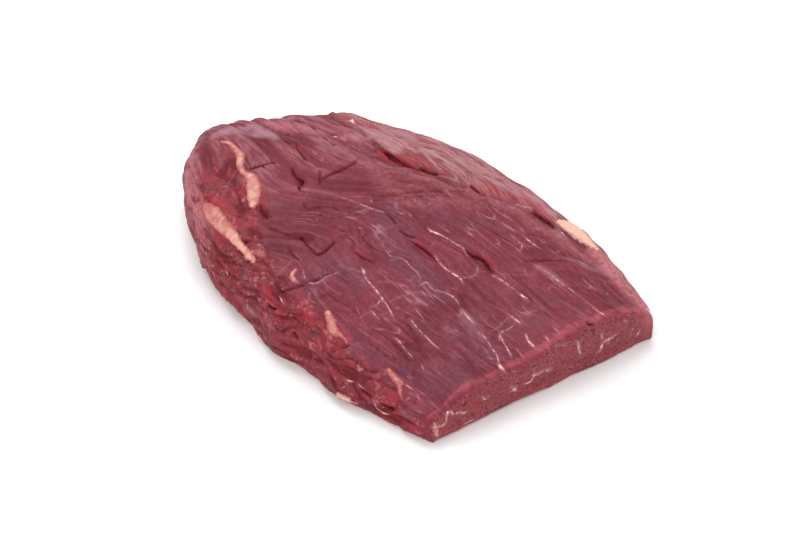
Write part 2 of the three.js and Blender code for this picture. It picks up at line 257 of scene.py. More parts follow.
class Marks:
    """What the photograph shows on the steak, as strokes of picture points."""

    shoulder = Stroke(((222, 142), (245, 160), (258, 195), (262, 230), (275, 262), (300, 290), (345, 340),
                       (387, 375), (405, 400), (426, 421)), 1.0)
    foot = Stroke(((437, 441), (445, 437), (460, 429), (520, 399), (558, 384), (564, 378.5), (569, 376),
                   (595, 366), (610, 359), (625, 350.5), (640, 343)), 1.0)
    torn_foot = Stroke(((202, 267), (220, 295), (250, 323), (265, 346), (280, 357), (295, 363.5),
                        (310, 373), (325, 387.5), (340, 399.5), (355, 405.5), (385, 420.5),
                        (400, 429.5), (415, 436.5), (428, 441)), 1.0)
    seam = Stroke(((334, 114), (348, 123), (365, 134), (382, 150), (400, 163), (440, 175), (465, 187),
                   (483, 194), (510, 202), (533, 214), (553, 226), (580, 241), (600, 255), (620, 280)),
                  1.0)
    fat_pads = (
        Stroke(((222, 142.5), (228, 143), (234, 147.5), (240, 155), (240, 165), (243.5, 173)),
               (0.7, 1.1, 1.2, 2.3, 1.9, 1.2), 0.46),
        Stroke(((243.5, 173), (251, 177), (253.5, 187), (253.5, 197), (253, 205)),
               (1.2, 2.4, 3.5, 3.3, 2.0), 0.48),
        Stroke(((206, 207), (213, 214.5), (221, 224), (230, 233)), (2.2, 4.2, 3.8, 2.9), 0.3),
        Stroke(((230, 233), (241, 246.5), (249, 256), (253.5, 261)), (2.9, 1.9, 1.9, 1.3), 0.6),
        Stroke(((328, 313), (331, 322), (334, 331), (339, 334)), (1.6, 2.1, 2.1, 1.1), 0.4),
        Stroke(((339, 334), (344, 338), (348, 344)), (0.9, 0.5, 0.3), 0.3),
        Stroke(((295.5, 269.5), (292.5, 274), (294.5, 280.5), (299, 283)), (0.9, 1.3, 1.2, 0.5), 0.45),
        Stroke(((387.5, 368.5), (391.5, 374), (397, 380.5), (401, 383.5)), (0.6, 1.3, 1.5, 1.3), 0.4),
        Stroke(((399.5, 384), (400, 390), (402, 398)), (1.0, 0.8, 0.4), 0.4),
        Stroke(((340, 394.5), (346, 397), (352, 401), (357, 404)), (1.2, 1.9, 1.3, 0.4), 0.8),
        Stroke(((559, 221.5), (568, 226), (578, 232.5), (588, 241), (597, 249)),
               (1.4, 2.8, 3.1, 2.5, 0.9), 1.0),
        Stroke(((434.5, 424), (436, 430), (437, 436)), (0.7, 1.3, 0.9), 0.6),
    )
    clefts = (
        Stroke(((250, 169), (261, 166), (274, 161.5)), (0.3, 0.4, 0.2), 1.5),
        Stroke(((292, 167), (296, 176), (302, 182.5), (299.5, 189), (305, 192)),
               (0.2, 0.4, 0.5, 0.45, 0.2), 2.0),
        Stroke(((320, 171), (320.5, 178), (320, 184)), (0.2, 0.35, 0.2), 1.4),
        Stroke(((322, 179), (338, 171), (357, 161.5)), (0.2, 0.4, 0.2), 1.6),
        Stroke(((295, 141), (301, 151), (307.5, 160.5)), (0.2, 0.3, 0.2), 1.0),
        Stroke(((260.5, 206), (263, 212), (266.5, 218)), (0.15, 0.3, 0.15), 1.6),
        Stroke(((304, 213), (320, 214.5), (335, 218)), (0.15, 0.35, 0.15), 0.9),
        Stroke(((304, 202), (305.5, 207), (320, 207), (337, 207.5)), (0.15, 0.35, 0.25, 0.15), 0.9),
        Stroke(((264, 225), (283, 233), (301.5, 237.5)), (0.2, 0.4, 0.3), 1.2),
        Stroke(((289, 249), (293, 255), (298, 259)), (0.25, 0.35, 0.15), 1.0),
        Stroke(((301.5, 237), (310, 247), (318.5, 254), (326, 250), (334, 242.5)),
               (0.3, 0.45, 0.55, 0.4, 0.15), 1.8),
        Stroke(((278, 292), (291, 288), (304, 285)), (0.2, 0.4, 0.2), 1.4),
        Stroke(((306.5, 282), (317, 279), (328, 273.5)), (0.25, 0.35, 0.15), 1.0),
        Stroke(((354, 252), (365, 258.5), (374.5, 263)), (0.25, 0.45, 0.2), 1.6),
        Stroke(((363, 237), (369, 244.5), (378, 250), (386, 254)), (0.2, 0.4, 0.35, 0.15), 1.5),
        Stroke(((335, 228), (344.5, 231.5)), (0.2, 0.25), 0.8),
        Stroke(((386, 213), (391.5, 217), (395.5, 223.5)), (0.2, 0.45, 0.25), 1.9),
        Stroke(((400, 231), (407.5, 235.5), (415, 238)), (0.2, 0.45, 0.2), 1.8),
        Stroke(((412, 242), (420, 247.5), (427, 252.5), (436.5, 261)), (0.15, 0.35, 0.35, 0.2), 1.9),
        Stroke(((467.5, 252), (474, 256.5), (481.5, 261), (487, 266.5), (493, 272)),
               (0.15, 0.3, 0.35, 0.4, 0.15), 1.9),
        Stroke(((399.5, 256.5), (410.5, 261)), (0.2, 0.25), 0.9),
        Stroke(((384, 152), (392, 157), (402, 163), (416, 168)), (0.4, 1.1, 1.2, 0.4), 2.4),
        Stroke(((420, 167.5), (427, 171), (437.5, 172.5)), (0.3, 0.7, 0.3), 1.9),
        Stroke(((471, 186), (480, 193)), (0.5, 0.35), 1.8),
        Stroke(((526, 260.5), (548, 260.5), (567, 261)), (0.15, 0.35, 0.15), 1.1),
        Stroke(((570.5, 254), (583, 260), (595.5, 267)), (0.15, 0.4, 0.15), 1.3),
        Stroke(((533, 211.5), (543, 218), (553, 225)), (0.25, 0.5, 0.3), 1.9),
        Stroke(((268, 306), (274, 309.5)), (0.84, 0.4), 2.6),
        Stroke(((294, 333), (297, 338)), (0.45, 0.35), 2.0),
        Stroke(((381, 403.5), (387, 408), (392, 411.5)), (0.25, 0.5, 0.25), 2.2),
        Stroke(((362, 390), (367, 394), (371.5, 398)), (0.25, 0.45, 0.2), 1.8),
        Stroke(((587.5, 321.5), (590, 324), (593, 325)), (0.25, 0.5, 0.2), 1.8),
        Stroke(((593, 330.5), (594.5, 332.5)), (0.35, 0.25), 1.2),
        Stroke(((464, 405.5), (467, 402.5)), (0.4, 0.3), 1.4),
    )
    furrows = (
        Stroke(((272, 139), (284, 139.5), (291, 142), (298, 148), (306, 159)), 0.5, 0.9),
        Stroke(((310, 125), (317, 132.5), (327, 141), (334, 146)), 0.5, 1.0),
        Stroke(((289, 119), (298, 129), (305, 135)), 0.4, 0.8),
        Stroke(((340, 116), (348, 123), (358, 129), (365, 134), (374, 142), (382, 150)), 0.6, 0.9),
        Stroke(((300, 147), (309, 158), (318, 166)), 0.4, 0.5),
        Stroke(((356, 144), (368, 153), (378, 163), (388, 168)), 0.4, 0.6),
        Stroke(((402, 165), (414, 167.5), (427, 170), (440, 176), (452, 182), (464, 187)), 0.5, 0.8),
        Stroke(((482, 195), (495, 197.5), (507, 200.5), (520, 206), (533, 213.5), (544, 220), (553, 226),
                (566, 234), (580, 240.5)), 0.3, 0.7),
        Stroke(((384, 196), (400, 193.7), (416, 191), (440, 191), (464, 190)), 0.5, 0.7),
        Stroke(((412, 181), (432, 184), (450, 188)), 0.3, 0.4),
        Stroke(((335, 226.5), (344, 231), (352, 234)), 0.3, 0.5),
        Stroke(((350, 222), (353, 233), (355.5, 244), (353, 250)), 0.3, 0.45),
        Stroke(((358, 223), (361, 232), (360, 241)), 0.25, 0.35),
        Stroke(((366, 225), (369, 231), (364.5, 237)), 0.3, 0.5),
        Stroke(((336, 208), (350, 210.5), (363, 217), (371, 226)), 0.3, 0.5),
        Stroke(((339, 214.5), (355, 220), (362, 224.5)), 0.3, 0.4),
        Stroke(((334, 242.5), (345, 237), (353, 234.5)), 0.3, 0.5),
        Stroke(((318, 224), (328, 232), (336, 240)), 0.25, 0.35),
        Stroke(((280, 222), (291, 227), (304, 226), (314, 221)), 0.25, 0.35),
        Stroke(((319, 299), (331, 293.5), (337, 291)), 0.4, 0.45),
        Stroke(((344, 274), (350, 285), (358, 293.5), (363, 306)), 0.4, 0.45),
        Stroke(((318, 283), (330, 285), (341, 290), (346, 300)), 0.4, 0.4),
        Stroke(((408, 316), (411.5, 326), (417, 337), (423, 349), (426.5, 359)), 0.5, 0.55),
        Stroke(((422, 349), (436, 353.5), (449, 359.5), (461, 361)), 0.4, 0.45),
        Stroke(((386, 330), (393, 341), (402, 352), (412, 361)), 0.4, 0.4),
        Stroke(((565.5, 255), (583, 264), (605, 275.5), (617, 283)), 0.4, 0.5),
        Stroke(((580, 287.5), (595, 293.5), (608, 302)), 0.3, 0.4),
        Stroke(((497, 233), (514, 233), (532, 235), (553, 239)), 0.4, 0.45),
        Stroke(((430, 216), (446, 222), (462, 230), (476, 240)), 0.4, 0.4),
        Stroke(((452, 205), (474, 212), (494, 222)), 0.4, 0.4),
        Stroke(((300, 312), (312, 322), (322, 333), (338, 348)), 0.4, 0.4),
    )
    crests = (
        Stroke(((262, 127), (273, 134), (281, 141)), 0.4, 0.6),
        Stroke(((301, 120), (309, 126), (317, 134), (325, 143), (334, 147), (346, 152), (356, 160.5)),
               0.5, 1.0),
        Stroke(((318, 119), (328, 126), (340, 134)), 0.5, 0.6),
        Stroke(((340, 129), (352, 132.5), (364, 141), (373, 149)), 0.6, 0.8),
        Stroke(((358, 162.5), (370, 168.5), (382, 172), (400, 172.5), (418, 177), (436, 181)), 0.5, 0.8),
        Stroke(((280, 131), (290, 137), (300, 142)), 0.4, 0.7),
        Stroke(((376, 132.5), (394, 141), (412, 146), (428, 156)), 0.7, 0.7),
        Stroke(((404, 195), (430, 194), (453, 192.5), (480, 195.5), (506, 203), (520, 211)), 0.5, 0.6),
        Stroke(((503, 274.5), (524, 275), (546, 274.5), (558, 277)), 0.4, 0.6),
        Stroke(((561, 268.5), (590, 277), (613, 285)), 0.5, 0.5),
        Stroke(((340, 228), (347, 236), (349, 246)), 0.3, 0.35),
        Stroke(((357, 214), (364, 222), (372, 230)), 0.3, 0.35),
        Stroke(((283, 217), (295, 221), (308, 218)), 0.3, 0.35),
        Stroke(((330, 280), (342, 283), (350, 291)), 0.4, 0.35),
    )
    fresh = (
        Stroke(((213, 196), (222, 204), (231, 213), (238, 222)), (1.4, 1.9, 1.9, 0.9)),
        Stroke(((382, 152), (394, 159), (406, 166), (420, 170)), (1.8, 3.2, 2.8, 1.6)),
        Stroke(((402, 158), (415, 164), (428, 169), (442, 172)), (1.5, 2.0, 2.5, 1.2), 0.8),
        Stroke(((472, 185), (482, 188), (494, 191), (507, 195), (521, 200), (538, 208), (549, 219)),
               (1.6, 2.4, 2.0, 1.6, 1.6, 1.6, 1.2), 0.7),
        Stroke(((356, 124), (366, 127), (378, 128)), (1.2, 1.6, 1.2)),
        Stroke(((330, 128), (342, 130), (352, 141)), (0.8, 1.2, 0.8), 0.5),
        Stroke(((288, 142), (298, 145), (303, 152)), (0.6, 0.9, 0.5), 0.7),
        Stroke(((413, 241), (421, 245), (428, 250)), (0.4, 0.9, 0.4)),
        Stroke(((484, 256), (491, 262), (496, 269)), (0.5, 1.2, 0.5), 0.6),
        Stroke(((358, 254), (369, 258.5)), (0.5, 0.6)),
        Stroke(((262, 288), (267, 296), (270, 303)), (1.8, 2.6, 1.6)),
        Stroke(((301, 309), (307, 316), (312, 322)), (1.2, 1.8, 1.0)),
        Stroke(((321, 326), (324, 336)), (0.8, 0.9)),
        Stroke(((338, 327), (345, 332), (350, 340)), (0.9, 1.2, 0.6)),
        Stroke(((256, 182), (262, 196), (264, 208)), (2.6, 2.2, 1.6), 0.6),
        Stroke(((470, 406), (476, 402.5)), (1.0, 1.5), 1.0),
        Stroke(((400, 384), (412, 391), (420, 400)), (1.6, 2.2, 1.8), 0.45),
    )
    lips = (
        Stroke(((428, 418), (445, 404), (457, 391), (470, 383.5), (500, 370), (520, 360), (539, 349),
                (556, 338)), (0.3, 0.5, 0.7, 1.5, 1.2, 1.5, 1.8, 1.2), 0.85),
        Stroke(((556, 338), (573, 326), (590, 320), (612, 313), (636, 308), (648, 312)),
               (1.2, 1.8, 1.6, 2.2, 2.6, 2.2), 0.9),
        Stroke(((640, 315), (650, 320), (647, 332)), (3.0, 2.4, 2.0), 0.8),
        Stroke(((436, 436), (452, 430), (480, 416), (520, 396), (552, 380), (580, 369), (620, 350),
                (647, 339)), (1.2, 1.6, 1.6, 1.8, 1.6, 1.6, 1.8, 1.6), 0.75),
    )
    swells = (
        Stroke(((402, 134), (425, 141), (448, 150)), (2, 4, 2), 1.5),
        Stroke(((505, 180), (524, 190), (541, 202)), (2, 3, 2), 1.4),
        Stroke(((335, 116), (352, 117), (368, 120)), (2, 3, 2), -1.0),
    )
    # pale pink patches: partly the lean's own tint, partly painted sheen along the far and right edges and on
    # the upper torn side
    blushes_and_sheen = (
        Stroke(((598, 252), (614, 270), (630, 288), (644, 304), (652, 315)),
               (3.5, 4.5, 4.5, 4.0, 3.0), 1.0),
        Stroke(((400, 169), (440, 182), (480, 197), (520, 213), (550, 231), (590, 260)),
               (2, 2.5, 3, 3.5, 3.5, 2), 0.45),
        Stroke(((266, 124), (282, 126), (300, 128), (318, 132)), (3.5, 4.0, 3.5, 2.5), 0.75),
        Stroke(((355, 146), (375, 166), (395, 187), (425, 188)), (3, 4, 4, 3), 0.22),
        Stroke(((192, 145), (190, 175), (197, 215), (205, 235)), (4, 4, 5, 4), 0.65),
        Stroke(((395, 198), (420, 202), (450, 200), (480, 204)), (2, 3, 3, 2), 0.25),
    )
    violets = (
        Stroke(((388, 212), (396, 238), (408, 262), (426, 280), (438, 298)), (6, 8, 8, 6, 4), 0.75),
        Stroke(((404, 372), (428, 388), (452, 372), (486, 350)), (4, 7, 7, 5), 0.8),
        Stroke(((455, 335), (478, 318)), (5, 5), 0.6),
        Stroke(((312, 284), (330, 262), (352, 282)), (5, 6, 5), 0.6),
        Stroke(((430, 212), (470, 222), (505, 228)), (4, 5, 4), 0.5),
        Stroke(((345, 334), (366, 350), (384, 366)), (4, 5, 4), 0.6),
        Stroke(((512, 330), (532, 318)), (4, 4), 0.5),
    )
    browns = (
        Stroke(((274, 205), (280, 235), (300, 248), (330, 250)), (6, 8, 7, 5), 0.6),
        Stroke(((300, 200), (330, 204), (350, 216)), (5, 5, 4), 0.5),
        Stroke(((268, 326), (284, 336), (304, 330)), (4, 5, 4), 0.7),
        Stroke(((412, 346), (425, 330), (436, 352)), (4, 5, 4), 0.5),
        Stroke(((520, 296), (545, 300), (568, 310)), (5, 6, 4), 0.6),
        Stroke(((470, 262), (480, 292), (496, 300)), (4, 5, 4), 0.4),
    )
    films = (
        Stroke(((214, 136), (232, 131), (252, 130), (268, 134), (277, 139)),
               (1.6, 3.4, 4.0, 3.0, 1.2), 0.95),
        Stroke(((345, 136), (362, 137), (385, 133), (413, 142), (432, 155)),
               (1.0, 1.6, 1.5, 1.6, 1.0), 0.75),
        Stroke(((405, 127), (430, 137), (455, 150), (470, 160)), (1.4, 1.6, 1.4, 0.9), 0.6),
        Stroke(((489, 177.5), (501, 183), (514, 190), (536, 202), (554, 214)),
               (1.8, 2.0, 1.6, 1.4, 1.2), 1.0),
        Stroke(((476, 172), (487, 171), (498, 177)), (1.0, 1.3, 0.8), 0.8),
        Stroke(((462, 310), (468, 320), (476, 331), (482, 339)), (1.0, 2.2, 2.6, 1.4), 0.28),
        Stroke(((556, 231), (562, 236)), (1.6, 1.6), 0.7),
        Stroke(((538, 266.5), (548.5, 273), (560, 282)), (0.8, 1.2, 0.9), 0.5),
        Stroke(((570, 258), (585, 264), (608, 273)), (1.6, 2.4, 1.4), 0.55),
        Stroke(((278, 190), (300, 189.5), (316, 190), (335, 195)), (0.1, 0.2, 0.2, 0.1), 0.3),
        Stroke(((322, 146), (330, 149), (338, 154)), (0.4, 0.8, 0.4), 0.5),
        Stroke(((380, 130), (395, 133)), (1.2, 1.2), 0.5),
        Stroke(((248, 309), (256, 319), (262, 328)), (0.6, 1.0, 0.6), 0.7),
        Stroke(((281, 118.5), (292, 118)), (1.0, 0.9), 0.9),
    )
    veins = (
        Stroke(((428, 228.5), (432.5, 231.5), (441, 235), (450.5, 240.5), (457, 244.5), (463, 248),
                (465, 252), (468, 256.5)), (0.5, 0.75, 0.7, 0.42, 0.4, 0.42, 0.35, 0.2)),
        Stroke(((434.5, 255.5), (439, 262), (446, 269), (453, 273.5), (460.5, 279), (463.5, 284)),
               (0.3, 0.3, 0.5, 0.6, 0.55, 0.25)),
        Stroke(((463, 277.5), (470, 277), (475.5, 274.5), (477.7, 270), (476.5, 266)),
               (0.3, 0.35, 0.4, 0.4, 0.2)),
        Stroke(((478.5, 272), (488, 270.5)), (0.25, 0.15)),
        Stroke(((386.5, 252), (391.5, 256.5), (398, 257), (406, 261), (410.5, 266.5), (416.5, 272),
                (421, 279)), (0.2, 0.32, 0.32, 0.3, 0.32, 0.28, 0.15)),
        Stroke(((390.7, 260.5), (398, 258.3)), (0.2, 0.28)),
        Stroke(((361.5, 268), (363.5, 271), (365, 276.5), (373, 286.5), (379, 294), (387, 305),
                (393, 316)), (0.3, 0.85, 0.35, 0.5, 0.55, 0.3, 0.5)),
        Stroke(((338, 264.5), (352, 269), (361, 271.5)), (0.12, 0.22, 0.25)),
        Stroke(((380.5, 299.5), (377.5, 304), (369.5, 307)), (0.35, 0.35, 0.15)),
        Stroke(((371, 310), (373, 312.5), (380, 320)), (0.2, 0.4, 0.3)),
        Stroke(((359.5, 317.5), (371, 310)), (0.12, 0.25)),
        Stroke(((341, 313), (348, 321)), (0.22, 0.2)),
        Stroke(((390.5, 301.5), (401.5, 296), (412, 293), (428, 294), (441, 297)),
               (0.15, 0.25, 0.28, 0.25, 0.12)),
        Stroke(((415.5, 296), (425.5, 305.5)), (0.15, 0.2)),
        Stroke(((377, 282.5), (387, 281.5), (398, 284), (408.5, 286.5)), (0.12, 0.22, 0.22, 0.1)),
        Stroke(((419, 286), (426.5, 282.5), (431, 288), (446, 293), (455, 298.5), (459, 304)),
               (0.2, 0.35, 0.25, 0.25, 0.5, 0.35)),
        Stroke(((408.5, 316.5), (414, 323.5), (420, 330.5), (426.5, 337), (432.5, 343.5), (440.5, 349.5)),
               (0.15, 0.4, 0.4, 0.38, 0.35, 0.12)),
        Stroke(((431.5, 246), (435.5, 241.5)), (0.4, 0.15)),
        Stroke(((396, 225), (385, 229), (375.5, 234.5), (394, 245)), (0.12, 0.2, 0.3, 0.14)),
        Stroke(((379.5, 226), (375.5, 234.5)), (0.12, 0.25)),
        Stroke(((491.5, 274.5), (496.5, 277.5), (504.5, 282), (509, 285.5), (514, 289), (519, 293)),
               (0.35, 0.4, 0.4, 0.4, 0.2, 0.4)),
        Stroke(((519.5, 293.5), (524, 296.5), (529, 300)), (0.6, 0.9, 0.7)),
        Stroke(((529, 300), (537, 305.5), (544.5, 309.5)), (0.3, 0.25, 0.12)),
        Stroke(((509.5, 315), (515.5, 319.5), (521.5, 324)), (0.35, 0.6, 0.4)),
        Stroke(((509.5, 316), (503, 323), (496.5, 328.5), (489.5, 332)), (0.3, 0.3, 0.28, 0.12)),
        Stroke(((518.5, 317), (525.5, 313), (532, 311), (537, 309.5)), (0.15, 0.25, 0.25, 0.12)),
        Stroke(((488, 303.5), (497, 307.5), (504.5, 311), (509.5, 315)), (0.15, 0.22, 0.25, 0.3)),
        Stroke(((461.5, 309.5), (461, 314.5), (458, 316.5)), (0.35, 0.4, 0.3)),
        Stroke(((461.5, 309.5), (467.5, 317), (475, 324)), (0.4, 0.55, 0.3)),
        Stroke(((442.5, 327), (446.5, 331), (453, 333)), (0.12, 0.22, 0.12)),
        Stroke(((499.5, 340), (500.5, 333.5), (509.5, 328.5), (513, 325.5)), (0.3, 0.35, 0.25, 0.35)),
        Stroke(((499.5, 333.5), (503, 341.5), (508.5, 350.5), (512, 357)), (0.35, 0.42, 0.5, 0.25)),
        Stroke(((525.5, 333.5), (528, 340), (532.5, 345), (536, 349)), (0.55, 0.75, 0.85, 0.35)),
        Stroke(((545, 336), (549.5, 341.5)), (0.45, 0.6)),
        Stroke(((554, 347), (557.5, 344.5)), (0.35, 0.35)),
        Stroke(((553.5, 326.5), (560, 334)), (0.4, 0.4)),
        Stroke(((551.5, 319), (559, 327)), (0.2, 0.22)),
        Stroke(((564, 301.5), (575, 309), (587, 317.5)), (0.15, 0.2, 0.14)),
        Stroke(((538, 267), (546.5, 272), (554, 277.5), (561, 283), (570.5, 289.5), (578, 295),
                (594, 308)), (0.25, 0.35, 0.35, 0.5, 0.3, 0.28, 0.12)),
        Stroke(((586, 301.5), (597, 310.5), (606.5, 316.5)), (0.14, 0.3, 0.5)),
        Stroke(((458.5, 343.5), (464.5, 349)), (0.2, 0.25)),
        Stroke(((470, 335.5), (473.5, 341.5), (478, 347)), (0.3, 0.25, 0.14)),
        Stroke(((477, 332), (484.5, 337), (490.5, 346), (497, 356), (499, 362)),
               (0.3, 0.35, 0.45, 0.35, 0.5)),
        Stroke(((498, 362), (500.5, 366.5), (505, 371.5)), (0.7, 1.0, 0.7)),
        Stroke(((421.5, 365.5), (424.5, 370.5)), (0.4, 0.3)),
        Stroke(((394.5, 336.5), (399.5, 341.5), (403.5, 347), (407.5, 352), (413, 357.5)),
               (0.4, 0.45, 0.42, 0.4, 0.3)),
        Stroke(((405, 384), (410.5, 388), (417, 394), (420, 401)), (0.35, 0.35, 0.3, 0.15)),
        Stroke(((410.5, 397.5), (406.5, 399.5)), (0.35, 0.3)),
        Stroke(((501, 223), (512, 229), (521.5, 233)), (0.2, 0.28, 0.3)),
        Stroke(((521.5, 233), (528, 240), (534, 244.5), (541, 249)), (0.35, 0.6, 0.4, 0.18)),
        Stroke(((518.5, 242), (522, 246), (520.5, 251)), (0.35, 0.45, 0.2)),
        Stroke(((431.5, 207.5), (429.5, 212.5)), (0.2, 0.25)),
        Stroke(((340, 197), (355, 202), (369, 207.5), (386, 213)), (0.25, 0.35, 0.4, 0.15)),
        Stroke(((302, 189.5), (322, 193), (334, 195), (340, 197)), (0.15, 0.25, 0.25, 0.25)),
        Stroke(((346, 216), (357, 219)), (0.25, 0.35)),
        Stroke(((303, 270), (306, 279.5), (313, 283.5), (328, 276), (337.5, 272.5)),
               (0.35, 0.35, 0.35, 0.2, 0.3)),
        Stroke(((278.5, 295.5), (281, 299), (283.5, 304.5)), (0.25, 0.4, 0.3)),
        Stroke(((314.5, 288.5), (316.5, 294.5), (323.5, 304.5), (328, 310.5)), (0.3, 0.3, 0.3, 0.25)),
        Stroke(((309.5, 293), (308.5, 298), (314.5, 303)), (0.35, 0.35, 0.3)),
        Stroke(((275.5, 276), (284, 268), (295, 260), (302, 267)), (0.3, 0.25, 0.2, 0.15)),
        Stroke(((342, 315), (349, 322)), (0.2, 0.2)),
        Stroke(((319, 340), (322, 349)), (0.4, 0.3)),
        Stroke(((327, 343), (329.5, 348.5)), (0.45, 0.3)),
        Stroke(((312, 349), (315, 353)), (0.5, 0.3)),
        Stroke(((374.5, 402), (376, 407), (382, 412), (390.5, 415)), (0.6, 0.6, 0.4, 0.6)),
        Stroke(((358, 384), (364.5, 389.5)), (0.5, 0.35)),
        Stroke(((346, 380), (354, 382)), (0.6, 0.4)),
        Stroke(((400, 407.5), (403, 412.5), (406.5, 416.5)), (0.2, 0.3, 0.2)),
        Stroke(((432, 427), (438, 427), (446, 422), (447, 416), (450.5, 411.5), (454, 414.5),
                (458.5, 412), (464, 413), (467.5, 411)),
               (0.8, 1.1, 0.72, 0.64, 0.72, 0.64, 0.64, 0.64, 0.48)),
        Stroke(((482, 396.5), (485, 399), (488, 396)), (0.64, 0.96, 0.56)),
        Stroke(((510, 386), (513.5, 389), (517, 391.5)), (0.48, 1.6, 0.48)),
        Stroke(((515.5, 385.5), (513.5, 389), (510.5, 392)), (0.48, 1.4, 0.48)),
        Stroke(((522.5, 383.5), (529, 382.5), (531.5, 380), (533.5, 376.5), (534, 368.5)),
               (0.4, 0.8, 0.8, 0.8, 0.32)),
        Stroke(((533.5, 376.5), (539.5, 373), (545, 370.5), (550.5, 369.5)), (0.72, 0.8, 0.96, 1.8)),
        Stroke(((576, 340.5), (578.5, 343), (579, 347), (579.5, 351), (581.5, 354.5)),
               (0.48, 1, 1.1, 0.96, 0.32)),
        Stroke(((582.5, 339), (579.5, 343)), (0.32, 0.64)),
        Stroke(((596.5, 353), (600.5, 350.5), (602, 345), (604.5, 341.5), (609.5, 339), (613.5, 336.5),
                (617.5, 334)), (0.72, 1.2, 1.1, 0.96, 1.3, 1.3, 0.48)),
        Stroke(((601, 333), (602.5, 340)), (0.32, 0.64)),
        Stroke(((560.5, 344.5), (565.5, 345.5)), (0.64, 0.48)),
        Stroke(((623.5, 320), (628, 322.5)), (0.5, 0.4)),
        Stroke(((639.5, 331), (636.5, 336)), (0.8, 0.64)),
        Stroke(((632, 330.5), (634.5, 327)), (0.56, 0.32)),
        Stroke(((637, 310.5), (639.5, 312)), (0.6, 0.4)),
        Stroke(((644, 305), (650, 313), (655, 320)), (0.5, 0.6, 0.5)),
        Stroke(((514, 371.5), (515.2, 372)), (0.5, 0.4)),
        Stroke(((463.5, 419), (465, 420)), (0.55, 0.4)),
        Stroke(((396, 203.5), (395.6, 207)), (1.0, 0.7)),
        Stroke(((438, 199.5), (439, 201)), (0.6, 0.4)),
        Stroke(((410.5, 215), (411, 217)), (0.5, 0.35)),
        Stroke(((306, 188.5), (307.5, 189)), (0.6, 0.4)),
        Stroke(((371, 200), (371.5, 202)), (0.5, 0.4)),
        Stroke(((465.5, 178.5), (468, 176.3), (470.6, 178.5), (469.5, 181)), (0.4, 0.45, 0.45, 0.3)),
        Stroke(((515, 204), (524, 206.5), (535, 208.5)), (0.4, 0.4, 0.3)),
        Stroke(((557, 229), (562, 233), (568, 238)), (0.35, 0.45, 0.3)),
        Stroke(((347.5, 120), (352, 121.5), (356, 124.5)), (0.7, 1.5, 0.6)),
        Stroke(((332, 136.5), (337, 137), (346, 140.5)), (0.8, 0.5, 0.8)),
        Stroke(((184, 177), (190, 176.5), (196, 178)), (0.2, 0.3, 0.2)),
        Stroke(((200, 244), (203, 251)), (0.6, 0.4)),
        Stroke(((225, 269.5), (229.5, 276)), (0.6, 0.4)),
        Stroke(((254, 235), (256, 238)), (0.6, 0.35)),
        Stroke(((461, 426), (470, 421), (480, 417)), (0.4, 0.45, 0.3)),
    )


def field_of(points: np.ndarray, trails: Iterable[Trail], margin: float) -> Iterable[Field]:
    """Measures how far points are from each trail.

    Args:
        points: the rows to measure.
        trails: the trails to measure from.
        margin: further than this past a trail's half width a point is left out.

    Returns:
        For each trail the numbers of the points near it, their distances past its half width, and the trail.
    """
    for trail in trails:
        reach = margin + trail.half_width.max()
        low, high = trail.points.min(0) - reach, trail.points.max(0) + reach
        near = np.flatnonzero(((points > low) & (points < high)).all(1))
        apart = np.linalg.norm(points[near][:, None] - trail.points[None], axis=2) - trail.half_width
        yield near, apart.min(1), trail


@dataclass(frozen=True)
class Relief:
    """Depths and widths of the fine relief, in millimetres."""

    bundle_width: float = 6.5
    bundle_length: float = 60.0
    bundle_depth: float = 0.9
    strand_width: float = 2.4
    strand_length: float = 26.0
    strand_depth: float = 0.22
    swell: float = 0.5
    far_ridge_depth: float = 2.2
    furrow_depth: float = 1.7
    crest_rise: float = 1.0
    crag_size: tuple[float, float, float] = (8.0, 19.0, 5.0)
    crag_depth: float = 1.35
    flake_depth: float = 0.75
    pad_rise: float = 0.45
    cell_depth: float = 0.28
    layer_depth: float = 0.55
    layer_swell: float = 0.35
    foot_fade: float = 2.5  # the height below which the relief doesn't lift the foot
    foot_height: float = 7.0  # how far up the cut its foot's move reaches
    torn_foot_height: float = 18.0  # the same on the torn side
    foot_step: float = 2.5  # between the stations at which the foot is measured
    foot_move: tuple[float, float] = (-4.5, 4.0)  # the furthest that the foot moves outwards and inwards
    foot_blend: float = 6.0  # the length over which the move fades in at each end


